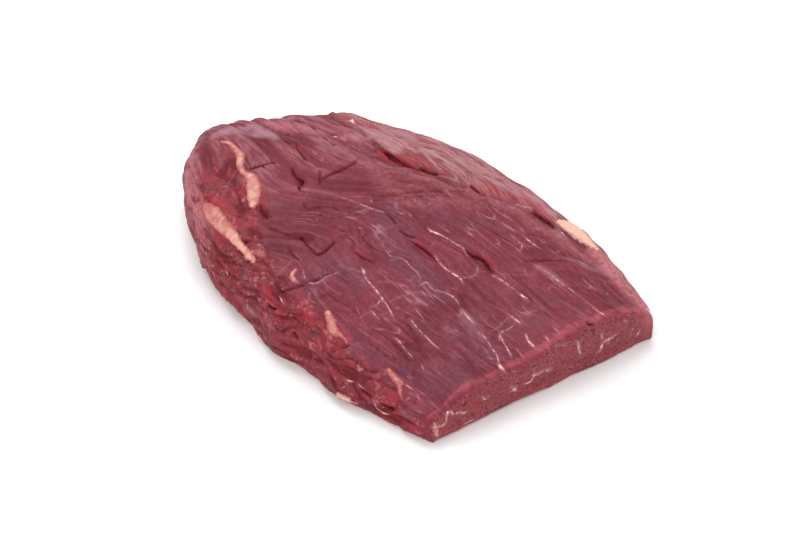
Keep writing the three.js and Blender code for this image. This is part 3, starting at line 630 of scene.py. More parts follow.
class SteakBody:
    """The whole cut of meat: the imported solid's form with its fine relief."""

    voxel = 0.89  # the spacing of the even mesh
    rim_angle = math.radians(38)  # edges sharper than this stay crisp when the facets are rounded
    rim_crease = 0.6  # how crisp they stay
    width = 150.0  # the mean distance between the long sides, over which the grain is spread
    drift = 36.0  # how far the fibres cross towards the right side over the drift's span of the length
    drift_span = (-5.0, 50.0)
    foot_angle = math.radians(5)  # faces of the flat foot that meet at less than this become one

    def __init__(self, view: Viewpoint, relief: Relief) -> None:
        """Notes the standpoint and the depths of the relief."""
        self.view = view
        self.relief = relief
        self.marks = Marks()

    def build(self) -> bpy.types.Object:
        """Makes the steak's body.

        Returns:
            The finished mesh object, with the masks that its material reads.
        """
        self.piece = self.copy_solid()
        self.even_out()
        self.tracer = Tracer(self.view, self.piece)
        self.read_surface()
        self.lay_marks()
        self.refine_marks()
        self.read_surface()
        self.find_regions()
        self.lay_marks()
        self.carve()
        self.store_masks()
        return self.piece

    def copy_solid(self) -> bpy.types.Object:
        """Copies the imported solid, merges the copy's loose triangles and marks its rims as crisp.

        Returns:
            The copy.
        """
        bpy.ops.object.select_all(action="DESELECT")
        solid = frame["nodes"]["steak"]
        solid.select_set(True)
        bpy.context.view_layer.objects.active = solid
        bpy.ops.object.duplicate()
        piece = bpy.context.active_object
        piece.name = piece.data.name = "steak_body"
        piece.parent = None
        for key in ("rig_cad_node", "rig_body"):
            del piece[key]
        piece.data.materials.clear()
        bpy.ops.object.mode_set(mode="EDIT")
        bpy.ops.mesh.select_all(action="SELECT")
        bpy.ops.mesh.remove_doubles(threshold=0.001 * MM)
        bpy.ops.mesh.tris_convert_to_quads()
        bpy.ops.mesh.select_all(action="DESELECT")
        bpy.ops.mesh.select_mode(type="EDGE")
        bpy.ops.mesh.edges_select_sharp(sharpness=self.rim_angle)
        bpy.ops.transform.edge_crease(value=self.rim_crease)
        bpy.ops.mesh.select_mode(type="FACE")
        bpy.ops.object.mode_set(mode="OBJECT")
        return piece

    def even_out(self) -> None:
        """Rounds the facets, gives the skin an even fine mesh and makes the flat foot one face."""
        rounding = self.piece.modifiers.new("rounding", "SUBSURF")
        rounding.levels = rounding.render_levels = 1
        even = self.piece.modifiers.new("even", "REMESH")
        even.mode = "VOXEL"
        even.voxel_size = self.voxel * MM
        soft = self.piece.modifiers.new("soft", "SMOOTH")
        soft.factor = 0.5
        soft.iterations = 2
        for modifier in (rounding, even, soft):
            bpy.ops.object.modifier_apply(modifier=modifier.name)
        bpy.ops.object.mode_set(mode="EDIT")
        mesh = bmesh.from_edit_mesh(self.piece.data)
        for face in mesh.faces:
            face.select_set(face.normal.z < -0.98 and face.calc_center_median().z < 0.4 * MM)
        mesh.select_flush_mode()
        bmesh.update_edit_mesh(self.piece.data)
        bpy.ops.mesh.dissolve_limited(angle_limit=self.foot_angle)
        bpy.ops.object.mode_set(mode="OBJECT")
        bpy.ops.object.shade_smooth()

    def refine_marks(self) -> None:
        """Halves the mesh's spacing along clefts, along the fat's edges and over broad veins."""
        broad = [stroke for stroke in self.marks.veins if np.max(stroke.half_width) > 0.7]
        near = (self.cleft < 0.7) | (np.abs(self.fat) < 0.8) | (self.painted(broad, 0.8) > 0.1)
        bpy.ops.object.mode_set(mode="EDIT")
        mesh = bmesh.from_edit_mesh(self.piece.data)
        mesh.verts.ensure_lookup_table()
        for face in mesh.faces:
            face.select_set(len(face.verts) == 4 and any(near[vertex.index] for vertex in face.verts))
        bmesh.update_edit_mesh(self.piece.data)
        bpy.ops.mesh.subdivide(number_cuts=1, smoothness=0.0)
        bpy.ops.object.mode_set(mode="OBJECT")

    def read_surface(self) -> None:
        """Takes the vertices' places and normals as arrays."""
        mesh = self.piece.data
        count = len(mesh.vertices)
        places, normals = np.zeros(count * 3), np.zeros(count * 3)
        mesh.vertices.foreach_get("co", places)
        mesh.vertex_normals.foreach_get("vector", normals)
        self.points = places.reshape(-1, 3) / MM
        self.normals = normals.reshape(-1, 3)

    def find_regions(self) -> None:
        """Finds which face of the steak each vertex belongs to, and its place in the grain."""
        x, y, z = self.points.T
        stations = np.linspace(-100, 95, 14)
        bands = [self.points[np.abs(y - s) < 5, 0] for s in stations]
        left = np.interp(y, stations, [band.min() for band in bands])
        right = np.interp(y, stations, [band.max() for band in bands])
        share = (x - left) / (right - left)
        shoulder = self.tracer.lay(self.marks.shoulder).points
        seam = self.tracer.lay(self.marks.seam).points
        upwards = self.normals[:, 2]
        behind = smooth_step(y, 70, 95)
        self.cut = smooth_step(-self.normals[:, 1], 0.45, 0.75) * smooth_step(-y, 82, 92)
        beyond = self.at_station(shoulder, y) - x
        self.torn = smooth_step(beyond, -1.5, 3.0) * (1 - self.cut) * (1 - behind)
        past_seam = smooth_step(x - self.at_station(seam, y), -1.0, 3.0)
        self.flap = past_seam * smooth_step(upwards, 0.0, 0.3) * (1 - self.cut)
        side = smooth_step(np.abs(2 * share - 1), 0.7, 1.0) * np.sign(share - 0.5)
        self.across = self.width * share + (38 - z) * side
        self.across = self.across + self.drift * smooth_step(y, *self.drift_span) * (1 - self.flap)
        bend = 4.5 * waves(self.points / [38, 60, 40], 1)
        self.across = self.across + bend + 1.3 * waves(self.points / 15, 14)
        self.along = y + 4.0 * waves(self.points / 30, 2)
        self.grain = np.stack([self.across, self.along], 1)

    @staticmethod
    def at_station(line: np.ndarray, y: np.ndarray) -> np.ndarray:
        """The x of a line that runs the steak's length, at each y."""
        order = np.argsort(line[:, 1])
        return np.interp(y, line[order, 1], line[order, 0])

    def lay_marks(self) -> None:
        """Measures how near every vertex is to fat and clefts, and how strong each other mark is there."""
        count = len(self.points)
        self.fat = np.full(count, 9.0)
        self.cream, weight = np.zeros(count), np.full(count, 1e-9)
        for near, apart, trail in field_of(self.points, self.tracer.lay_all(self.marks.fat_pads), 6):
            self.fat[near] = np.minimum(self.fat[near], apart)
            self.cream[near] += trail.amount * np.exp(-apart)
            weight[near] += np.exp(-apart)
        self.cream /= weight
        self.cleft = np.full(count, 5.0)
        self.slit = np.zeros(count)
        for near, apart, trail in field_of(self.points, self.tracer.lay_all(self.marks.clefts), 5):
            self.cleft[near] = np.minimum(self.cleft[near], apart)
            floor = 1 - smooth_step(apart, -0.3, 0.45)
            depth = trail.amount * (0.7 * floor + 0.13 * np.exp(-((apart / 0.9) ** 2)))
            self.slit[near] = np.maximum(self.slit[near], depth)
        self.fresh = self.painted(self.marks.fresh, 1.2)
        self.film = self.painted(self.marks.films, 2.2)
        self.vein = self.painted(self.marks.veins, 0.7)
        self.furrow = self.painted(self.marks.furrows, 1.4)
        self.crest = self.painted(self.marks.crests, 1.8)
        self.swell = self.painted(self.marks.swells, 5.0)
        self.lip = self.painted(self.marks.lips, 1.0)
        self.blush_and_sheen = self.painted(self.marks.blushes_and_sheen, 5.0)
        self.violet = self.painted(self.marks.violets, 6.0)
        self.brown = self.painted(self.marks.browns, 6.0)

    def painted(self, strokes: Iterable[Stroke], softness: float) -> np.ndarray:
        """The strength of soft-edged strokes at every vertex.

        Args:
            strokes: the strokes to paint.
            softness: how far past a stroke its colour fades out.

        Returns:
            A number from 0 to 1 for each vertex.
        """
        strength = np.zeros(len(self.points))
        for near, apart, trail in field_of(self.points, self.tracer.lay_all(strokes), softness):
            shade = trail.amount * (1 - smooth_step(apart, -softness / 2, softness))
            stronger = np.abs(shade) > np.abs(strength[near])
            strength[near[stronger]] = shade[stronger]
        return strength

    def carve(self) -> None:
        """Moves every vertex along its normal by the relief, and the foot to the photograph's line."""
        sizes = self.relief
        calm = 1 - 0.75 * smooth_step(-self.fat, -0.5, 1.0)
        height = (self.bundles() + self.strands()) * (1 - self.cut) * calm
        far = smooth_step(self.points[:, 1], 25, 65)
        height += self.crags() * self.torn * calm * (1 - 0.5 * far)
        height += self.flap_layers() * self.flap * calm
        height += self.cut_cells() * self.cut
        height += sizes.crest_rise * self.crest - sizes.furrow_depth * self.furrow - self.slit + self.swell
        lumpy = 1 + 0.4 * waves(self.points / 3.4, 22)
        height += sizes.pad_rise * (1 - smooth_step(self.fat, -0.6, 0.5)) * lumpy
        shift = self.normals * height[:, None]
        shift[:, :2] += self.foot_shift(self.points + shift)
        shift[:, 2] *= smooth_step(self.points[:, 2], 0.2, sizes.foot_fade)
        self.points = self.points + shift
        self.points[:, 2] = np.maximum(self.points[:, 2], 0)
        self.piece.data.vertices.foreach_set("co", (self.points * MM).ravel())
        self.piece.data.update()

    def foot_shift(self, points: np.ndarray) -> np.ndarray:
        """How far the foot of the cut and of the torn side moves, so that its outline is the photograph's.

        Args:
            points: the vertices' places with their relief.

        Returns:
            The move of each vertex, across and along.
        """
        sizes = self.relief
        shift = np.zeros((len(points), 2))
        sight = points - self.view.eye()
        seen = (points - sight * (points[:, 2] / sight[:, 2])[:, None])[:, :2]
        for side, stroke, axis, height in (
                (self.cut, self.marks.foot, 1, sizes.foot_height),
                (self.torn, self.marks.torn_foot, 0, sizes.torn_foot_height)):
            line = np.array([self.tracer.on_floor(spot)[:2] for spot in stroke.spots])
            line = line[np.argsort(line[:, 1 - axis])]
            first, last = line[0, 1 - axis], line[-1, 1 - axis]
            stations = np.linspace(first, last, int((last - first) / sizes.foot_step))
            edge = seen[side > 0.3]
            near = np.abs(edge[:, 1 - axis, None] - stations) < 2.0
            present = np.where(near, edge[:, axis, None], np.inf).min(0)
            gap = np.interp(stations, line[:, 1 - axis], line[:, axis]) - present
            gap = np.convolve(np.pad(np.clip(gap, *sizes.foot_move), 2, "edge"), np.full(5, 0.2), "valid")
            along = seen[:, 1 - axis]
            inside = smooth_step(along - first, 0, sizes.foot_blend)
            inside = inside * smooth_step(last - along, 0, sizes.foot_blend)
            low = 1 - smooth_step(points[:, 2], height / 3, height)
            shift[:, axis] += np.interp(along, stations, gap) * inside * low * side
        return shift

    def bundles(self) -> np.ndarray:
        """Shapes long rounded muscle bundles, with narrow creases where they meet, and ridges at the far end.

        Returns:
            The height that they add at each vertex.
        """
        sizes = self.relief
        place = self.grain / [sizes.bundle_width, sizes.bundle_length]
        self.bundle = waves(place, 3)
        crease = np.exp(-((self.bundle / 0.07) ** 2)) + 0.35 * np.exp(-((self.bundle / 0.2) ** 2))
        self.patchy = 0.2 + 0.8 * smooth_step(waves(self.points / 24, 4), -0.15, 0.35)
        far = smooth_step(self.points[:, 1], 15, 75)
        rise = np.abs(waves(self.grain / [10, 80], 15))
        above = far * smooth_step(self.normals[:, 2], 0.4, 0.75) * (1 - self.torn)
        self.ridge = above * (smooth_step(rise, 0.12, 0.35) - 0.8 * (1 - smooth_step(rise, 0.02, 0.1)))
        ridges = sizes.far_ridge_depth * far * (rise**0.7 - 0.35)
        return sizes.swell * waves(place * 0.5, 5) - sizes.bundle_depth * crease * self.patchy + ridges

    def strands(self) -> np.ndarray:
        """Shapes thin strands within the bundles.

        Returns:
            The height that they add at each vertex.
        """
        sizes = self.relief
        self.strand = waves(self.grain / [sizes.strand_width, sizes.strand_length], 6)
        return -sizes.strand_depth * np.exp(-((self.strand / 0.12) ** 2))

    def crags(self) -> np.ndarray:
        """Shapes the torn side's crags and flakes.

        Returns:
            The height that they add at each vertex.
        """
        sizes = self.relief
        swirl = np.stack([waves(self.points / 13, seed) for seed in (16, 17, 18)], 1)
        place = (self.points + 5 * swirl) / sizes.crag_size
        rough = waves(place, 7) + 0.55 * waves(place * 2.1, 8) + 0.3 * waves(place * 4.3, 9)
        flakes = np.exp(-((waves(place * [0.4, 0.5, 1.2], 10) / 0.09) ** 2))
        self.crag = (rough - 0.8 * flakes) * self.torn
        return sizes.crag_depth * rough - sizes.flake_depth * flakes

    def flap_layers(self) -> np.ndarray:
        """Shapes thin layers of skin and flesh on the flap beside the seam.

        Returns:
            The height that they add at each vertex.
        """
        sizes = self.relief
        field = waves(self.grain / [3.2, 34], 11)
        layers = sizes.layer_depth * np.exp(-((field / 0.08) ** 2))
        return sizes.layer_swell * waves(self.points / 7, 12) - layers

    def cut_cells(self) -> np.ndarray:
        """The knife-cut ends of the bundles."""
        field = waves(self.points / [4.2, 4.2, 3.0], 13)
        return self.relief.cell_depth * (field - 1.2 * np.exp(-((field / 0.06) ** 2)))

    def store_masks(self) -> None:
        """Keeps the masks on the mesh as attributes for the material."""
        masks = {
            "across": self.across, "along": self.along, "bundle": self.bundle, "strand": self.strand,
            "patchy": self.patchy, "ridge": self.ridge, "torn": self.torn, "cut": self.cut,
            "flap": self.flap, "crag": self.crag, "fat": self.fat, "cream": self.cream,
            "cleft": self.cleft, "film": self.film, "fresh": self.fresh, "vein": self.vein,
            "furrow": self.furrow, "crest": self.crest, "lip": self.lip, "blush_and_sheen": self.blush_and_sheen,
            "violet": self.violet, "brown": self.brown,
        }
        for name, values in masks.items():
            attribute = self.piece.data.attributes.new(name, "FLOAT", "POINT")
            attribute.data.foreach_set("value", values.astype(np.float32))


@dataclass(frozen=True)
class Scatter:
    """How many fine threads the grain carries, and their sizes."""

    seed: int = 11
    count: int = 24
    step: float = 1.0
    length: tuple[float, float] = (3.0, 11.0)
    half_width: tuple[float, float] = (0.1, 0.2)


@dataclass(frozen=True)
class Flecks:
    """How many short crumbs of fat the cut and torn faces carry, and their sizes."""

    seed: int = 23
    count: int = 150
    length: tuple[float, float] = (0.8, 2.6)
    half_width: tuple[float, float] = (0.16, 0.42)


class Marbling:
    """Threads of fat and gristle that lie flush in the meat."""

    sides = 1  # the bevel's resolution
    thinnest = 0.04  # the least half width
    unevenness = 0.7  # how far a thread's width swings, as a share of it
    sunk = 0.72  # the share of its half width by which a thread's middle lies under the surface
    breaks = 0.6  # how deep a thread dives where it is broken, for each part of its unevenness
    painted_below = 0.32  # a vein thinner than this is only a colour
    wander = 0.07  # how far a walk turns aside at each step
    fine_seed = 200  # the first seed of the fine threads' unevenness
    fleck_seed = 300  # the same for the flecks

    def __init__(self, body: SteakBody, scatter: Scatter, flecks: Flecks) -> None:
        """Notes the body that carries the threads and how many fine ones and flecks there are."""
        self.body = body
        self.scatter = scatter
        self.flecks = flecks
        self.knots: list[tuple[Vector, float]] = []

    def build(self) -> bpy.types.Object:
        """Makes all the threads as one mesh.

        Returns:
            The mesh object with the threads.
        """
        self.tracer = Tracer(self.body.view, self.body.piece)
        curve = bpy.data.curves.new("marbling", "CURVE")
        curve.dimensions = "3D"
        curve.bevel_depth = MM
        curve.bevel_resolution = self.sides
        curve.use_fill_caps = True
        veins = self.body.marks.veins
        solid = [stroke for stroke in veins if np.max(stroke.half_width) >= self.painted_below]
        for number, trail in enumerate(self.tracer.lay_all(solid)):
            self.add_thread(curve, trail.points, trail.half_width, number)
        self.add_fine_threads(curve)
        self.add_flecks(curve)
        bpy.ops.object.select_all(action="DESELECT")
        piece = bpy.data.objects.new("marbling", curve)
        bpy.context.scene.collection.objects.link(piece)
        piece.select_set(True)
        bpy.context.view_layer.objects.active = piece
        bpy.ops.object.convert(target="MESH")
        piece = bpy.context.active_object
        piece.name = piece.data.name = "marbling"
        bpy.ops.object.shade_smooth()
        self.store_girth(piece)
        return piece

    def store_girth(self, piece: bpy.types.Object) -> None:
        """Keeps on each vertex the half width of its thread, in millimetres, for the finish.

        Args:
            piece: the mesh of all the threads.
        """
        tree = KDTree(len(self.knots))
        for number, (place, _) in enumerate(self.knots):
            tree.insert(place, number)
        tree.balance()
        girths = [self.knots[tree.find(vertex.co)[1]][1] for vertex in piece.data.vertices]
        piece.data.attributes.new("girth", "FLOAT", "POINT").data.foreach_set("value", girths)

    def add_thread(self, curve: bpy.types.Curve, points: np.ndarray, widths: np.ndarray, number: int) -> None:
        """Adds one thread that follows the surface, uneven in width and thin at its ends.

        Args:
            curve: the curve that takes the thread.
            points: close points on or near the surface.
            widths: the thread's half width at each point.
            number: picks the thread's own unevenness.
        """
        taper = np.minimum(1.0, np.minimum(np.arange(len(points)), np.arange(len(points))[::-1]) / 3 + 0.2)
        uneven = waves(points / 1.7, 20 + number * 0.37)
        radii = np.maximum(self.thinnest, widths * taper * (1 + self.unevenness * uneven))
        depths = radii * self.sunk + self.breaks * np.maximum(0, -uneven - 0.12)
        spline = curve.splines.new("POLY")
        spline.points.add(len(points) - 1)
        for knot, point, radius, depth in zip(spline.points, points, radii, depths):
            place, normal = self.tracer.nearest(point)
            knot.co = (*((place - normal * depth) * MM), 1)
            knot.radius = radius
            self.knots.append((knot.co.to_3d(), radius))

    def add_fine_threads(self, curve: bpy.types.Curve) -> None:
        """Scatters fine threads along the grain over the whole steak.

        Args:
            curve: the curve that takes the threads.
        """
        body, scatter = self.body, self.scatter
        rng = np.random.default_rng(scatter.seed)
        free = np.flatnonzero((body.points[:, 2] > 3) & (body.fat > 2) & (body.torn < 0.9))
        for number in range(scatter.count):
            place = body.points[rng.choice(free)]
            cut = body.cut[np.argmin(((body.points - place) ** 2).sum(1))]
            length = rng.uniform(*scatter.length) * (0.4 if cut > 0.5 else 1.0)
            heading = rng.normal(size=3) if cut > 0.5 else np.array([rng.normal(0, 0.25), -1.0, 0.0])
            points = self.walk(place, heading, length, rng)
            widths = np.full(len(points), rng.uniform(*scatter.half_width))
            self.add_thread(curve, points, widths, self.fine_seed + number)

    def add_flecks(self, curve: bpy.types.Curve) -> None:
        """Scatters short crumbs of fat over the cut face and thinly over the torn side.

        Args:
            curve: the curve that takes the crumbs.
        """
        body, flecks = self.body, self.flecks
        rng = np.random.default_rng(flecks.seed)
        chance = (body.cut > 0.6) + 0.25 * (body.torn > 0.6) * (body.fat > 2)
        chance = chance * (body.points[:, 2] > 1.5)
        picked = rng.choice(len(chance), flecks.count, replace=False, p=chance / chance.sum())
        for number, place in enumerate(body.points[picked]):
            points = self.walk(place, rng.normal(size=3), rng.uniform(*flecks.length), rng)
            widths = np.full(len(points), rng.uniform(*flecks.half_width))
            self.add_thread(curve, points, widths, self.fleck_seed + number)

    def walk(self, place: np.ndarray, heading: np.ndarray, length: float,
             rng: np.random.Generator) -> np.ndarray:
        """Steps along the surface from a place, keeping roughly to a heading.

        Args:
            place: where the walk starts.
            heading: its first direction.
            length: how far it goes.
            rng: the source of its small turns.

        Returns:
            The points of the walk.
        """
        points = [place]
        for _ in range(max(3, int(length / self.scatter.step))):
            normal = self.tracer.nearest(points[-1])[1]
            heading = heading + rng.normal(0, self.wander, 3)
            heading = heading - normal * (heading @ normal)
            heading = heading / np.linalg.norm(heading)
            points.append(self.tracer.nearest(points[-1] + heading * self.scatter.step)[0])
        return np.array(points)


class Graph:
    """A node tree with short ways to add and join nodes."""

    def __init__(self, tree: bpy.types.NodeTree) -> None:
        """Works on a tree that is already there."""
        self.tree = tree

    def node(self, kind: str, **settings: object) -> bpy.types.Node:
        """Adds a node.

        Args:
            kind: the node's type.
            **settings: the node's own settings.

        Returns:
            The node.
        """
        node = self.tree.nodes.new(kind)
        for key, value in settings.items():
            setattr(node, key, value)
        return node

    def feed(self, socket: Socket, value: Value) -> None:
        """Joins a socket to another, or sets it to a plain value.

        Args:
            socket: the input to feed.
            value: the output that it is joined to, or its value.
        """
        if isinstance(value, bpy.types.NodeSocket):
            self.tree.links.new(value, socket)
        else:
            socket.default_value = value

    def math(self, operation: str, first: Value, second: Value = 0.0) -> Socket:
        """Works out one value from one or two.

        Args:
            operation: what is done, by Blender's name for it.
            first: the first value.
            second: the second value, where the operation takes one.

        Returns:
            The result.
        """
        node = self.node("ShaderNodeMath", operation=operation)
        self.feed(node.inputs[0], first)
        self.feed(node.inputs[1], second)
        return node.outputs[0]

    def times(self, first: Value, second: Value) -> Socket:
        """The product of two values."""
        return self.math("MULTIPLY", first, second)

    def plus(self, first: Value, second: Value) -> Socket:
        """The sum of two values."""
        return self.math("ADD", first, second)

    def span(self, value: Value, low: float, high: float, start: float = 0.0, end: float = 1.0) -> Socket:
        """Eases a value from one span of numbers to another.

        Args:
            value: the value to ease.
            low, high: the span that it comes in.
            start, end: the results at low and at high, which hold beyond them.

        Returns:
            The eased value.
        """
        node = self.node("ShaderNodeMapRange", interpolation_type="SMOOTHSTEP")
        for socket, number in zip(node.inputs, (value, low, high, start, end)):
            self.feed(socket, number)
        return node.outputs[0]

    def mix(self, share: Value, first: Value, second: Value, blend: str = "MIX") -> Socket:
        """Mixes two colours.

        Args:
            share: how much of the second colour is taken.
            first: the first colour.
            second: the second colour.
            blend: how they mix, by Blender's name for it.

        Returns:
            The mixed colour.
        """
        node = self.node("ShaderNodeMix", data_type="RGBA", blend_type=blend)
        self.feed(node.inputs[0], share)
        self.feed(node.inputs[6], first)
        self.feed(node.inputs[7], second)
        return node.outputs[2]

    def paint(self, colour: Value, share: Value, tone: Tone) -> Socket:
        """A colour with a share of a screen colour laid over it."""
        return self.mix(share, colour, linear(*tone))

    def shade(self, colour: Value, factor: Value) -> Socket:
        """A colour made lighter or darker by a factor."""
        return self.mix(1.0, colour, self.place(factor, factor, factor), "MULTIPLY")

    def mask(self, name: str) -> Socket:
        """A mask that the mesh carries."""
        return self.node("ShaderNodeAttribute", attribute_name=name).outputs["Fac"]

    def place(self, x: Value, y: Value, z: Value = 0.0) -> Socket:
        """Puts three values together as a place.

        Args:
            x, y, z: the values.

        Returns:
            The place.
        """
        node = self.node("ShaderNodeCombineXYZ")
        for socket, value in zip(node.inputs, (x, y, z)):
            self.feed(socket, value)
        return node.outputs[0]

    def in_grain(self, across: float, along: float) -> Socket:
        """The place in the grain, in waves that are given as how many there are in a millimetre each way."""
        return self.place(self.times(self.mask("across"), across), self.times(self.mask("along"), along))

    def noise(self, place: Value, scale: float, detail: float = 2.0) -> Socket:
        """Adds smooth noise.

        Args:
            place: the place where it is read.
            scale: how many waves there are in one unit of the place.
            detail: how many finer layers of noise it has.

        Returns:
            A value from 0 to 1, mostly near a half.
        """
        node = self.node("ShaderNodeTexNoise")
        self.feed(node.inputs["Vector"], place)
        node.inputs["Scale"].default_value = scale
        node.inputs["Detail"].default_value = detail
        return node.outputs[0]

    def patches(self, place: Value, scale: float, detail: float, low: float, high: float,
                start: float = 0.0, end: float = 1.0) -> Socket:
        """Noise, with the arguments of noise, eased from one span to another as in span."""
        return self.span(self.noise(place, scale, detail), low, high, start, end)


class NewMaterial:
    """A material that is being made, with its graph and its shader."""

    def __init__(self, name: str) -> None:
        """Starts a material with a plain shader."""
        self.material = bpy.data.materials.new(name)
        self.material.use_nodes = True
        self.graph = Graph(self.material.node_tree)
        self.shader = self.material.node_tree.nodes["Principled BSDF"]

    def give(self, inputs: dict[str, Value]) -> None:
        """Feeds the shader's inputs, by their names."""
        for name, value in inputs.items():
            self.graph.feed(self.shader.inputs[name], value)


class GrainGroup:
    """The shared effect of fine fibres that run along the grain."""

    name = "Fibre grain"
    layers = (  # each output, its waves in a millimetre across and along the grain, and its detail
        ("Streak", 0.55, 0.04, 3.0),
        ("Fibre", 1.7, 0.11, 2.0),
    )

    @classmethod
    def tree(cls) -> bpy.types.NodeTree:
        """The group's tree, built the first time it is asked for."""
        return bpy.data.node_groups.get(cls.name) or cls.build()

    @classmethod
    def build(cls) -> bpy.types.NodeTree:
        """Builds the group, with the place in the grain as its inputs.

        Returns:
            The group's tree.
        """
        tree = bpy.data.node_groups.new(cls.name, "ShaderNodeTree")
        for name in ("Across", "Along"):
            tree.interface.new_socket(name, in_out="INPUT", socket_type="NodeSocketFloat")
        for name, _, _, _ in cls.layers:
            tree.interface.new_socket(name, in_out="OUTPUT", socket_type="NodeSocketFloat")
        graph = Graph(tree)
        inputs = graph.node("NodeGroupInput").outputs
        outputs = graph.node("NodeGroupOutput").inputs
        for name, across, along, detail in cls.layers:
            place = graph.place(graph.times(inputs["Across"], across), graph.times(inputs["Along"], along))
            graph.feed(outputs[name], graph.noise(place, 1.0, detail))
        return tree

    @classmethod
    def use(cls, graph: Graph) -> bpy.types.Node:
        """Places the group in a material.

        Args:
            graph: the material's tree.

        Returns:
            The group's node, with the streaks and the fine fibres as its outputs.
        """
        node = graph.node("ShaderNodeGroup", node_tree=cls.tree())
        graph.feed(node.inputs["Across"], graph.mask("across"))
        graph.feed(node.inputs["Along"], graph.mask("along"))
        return node


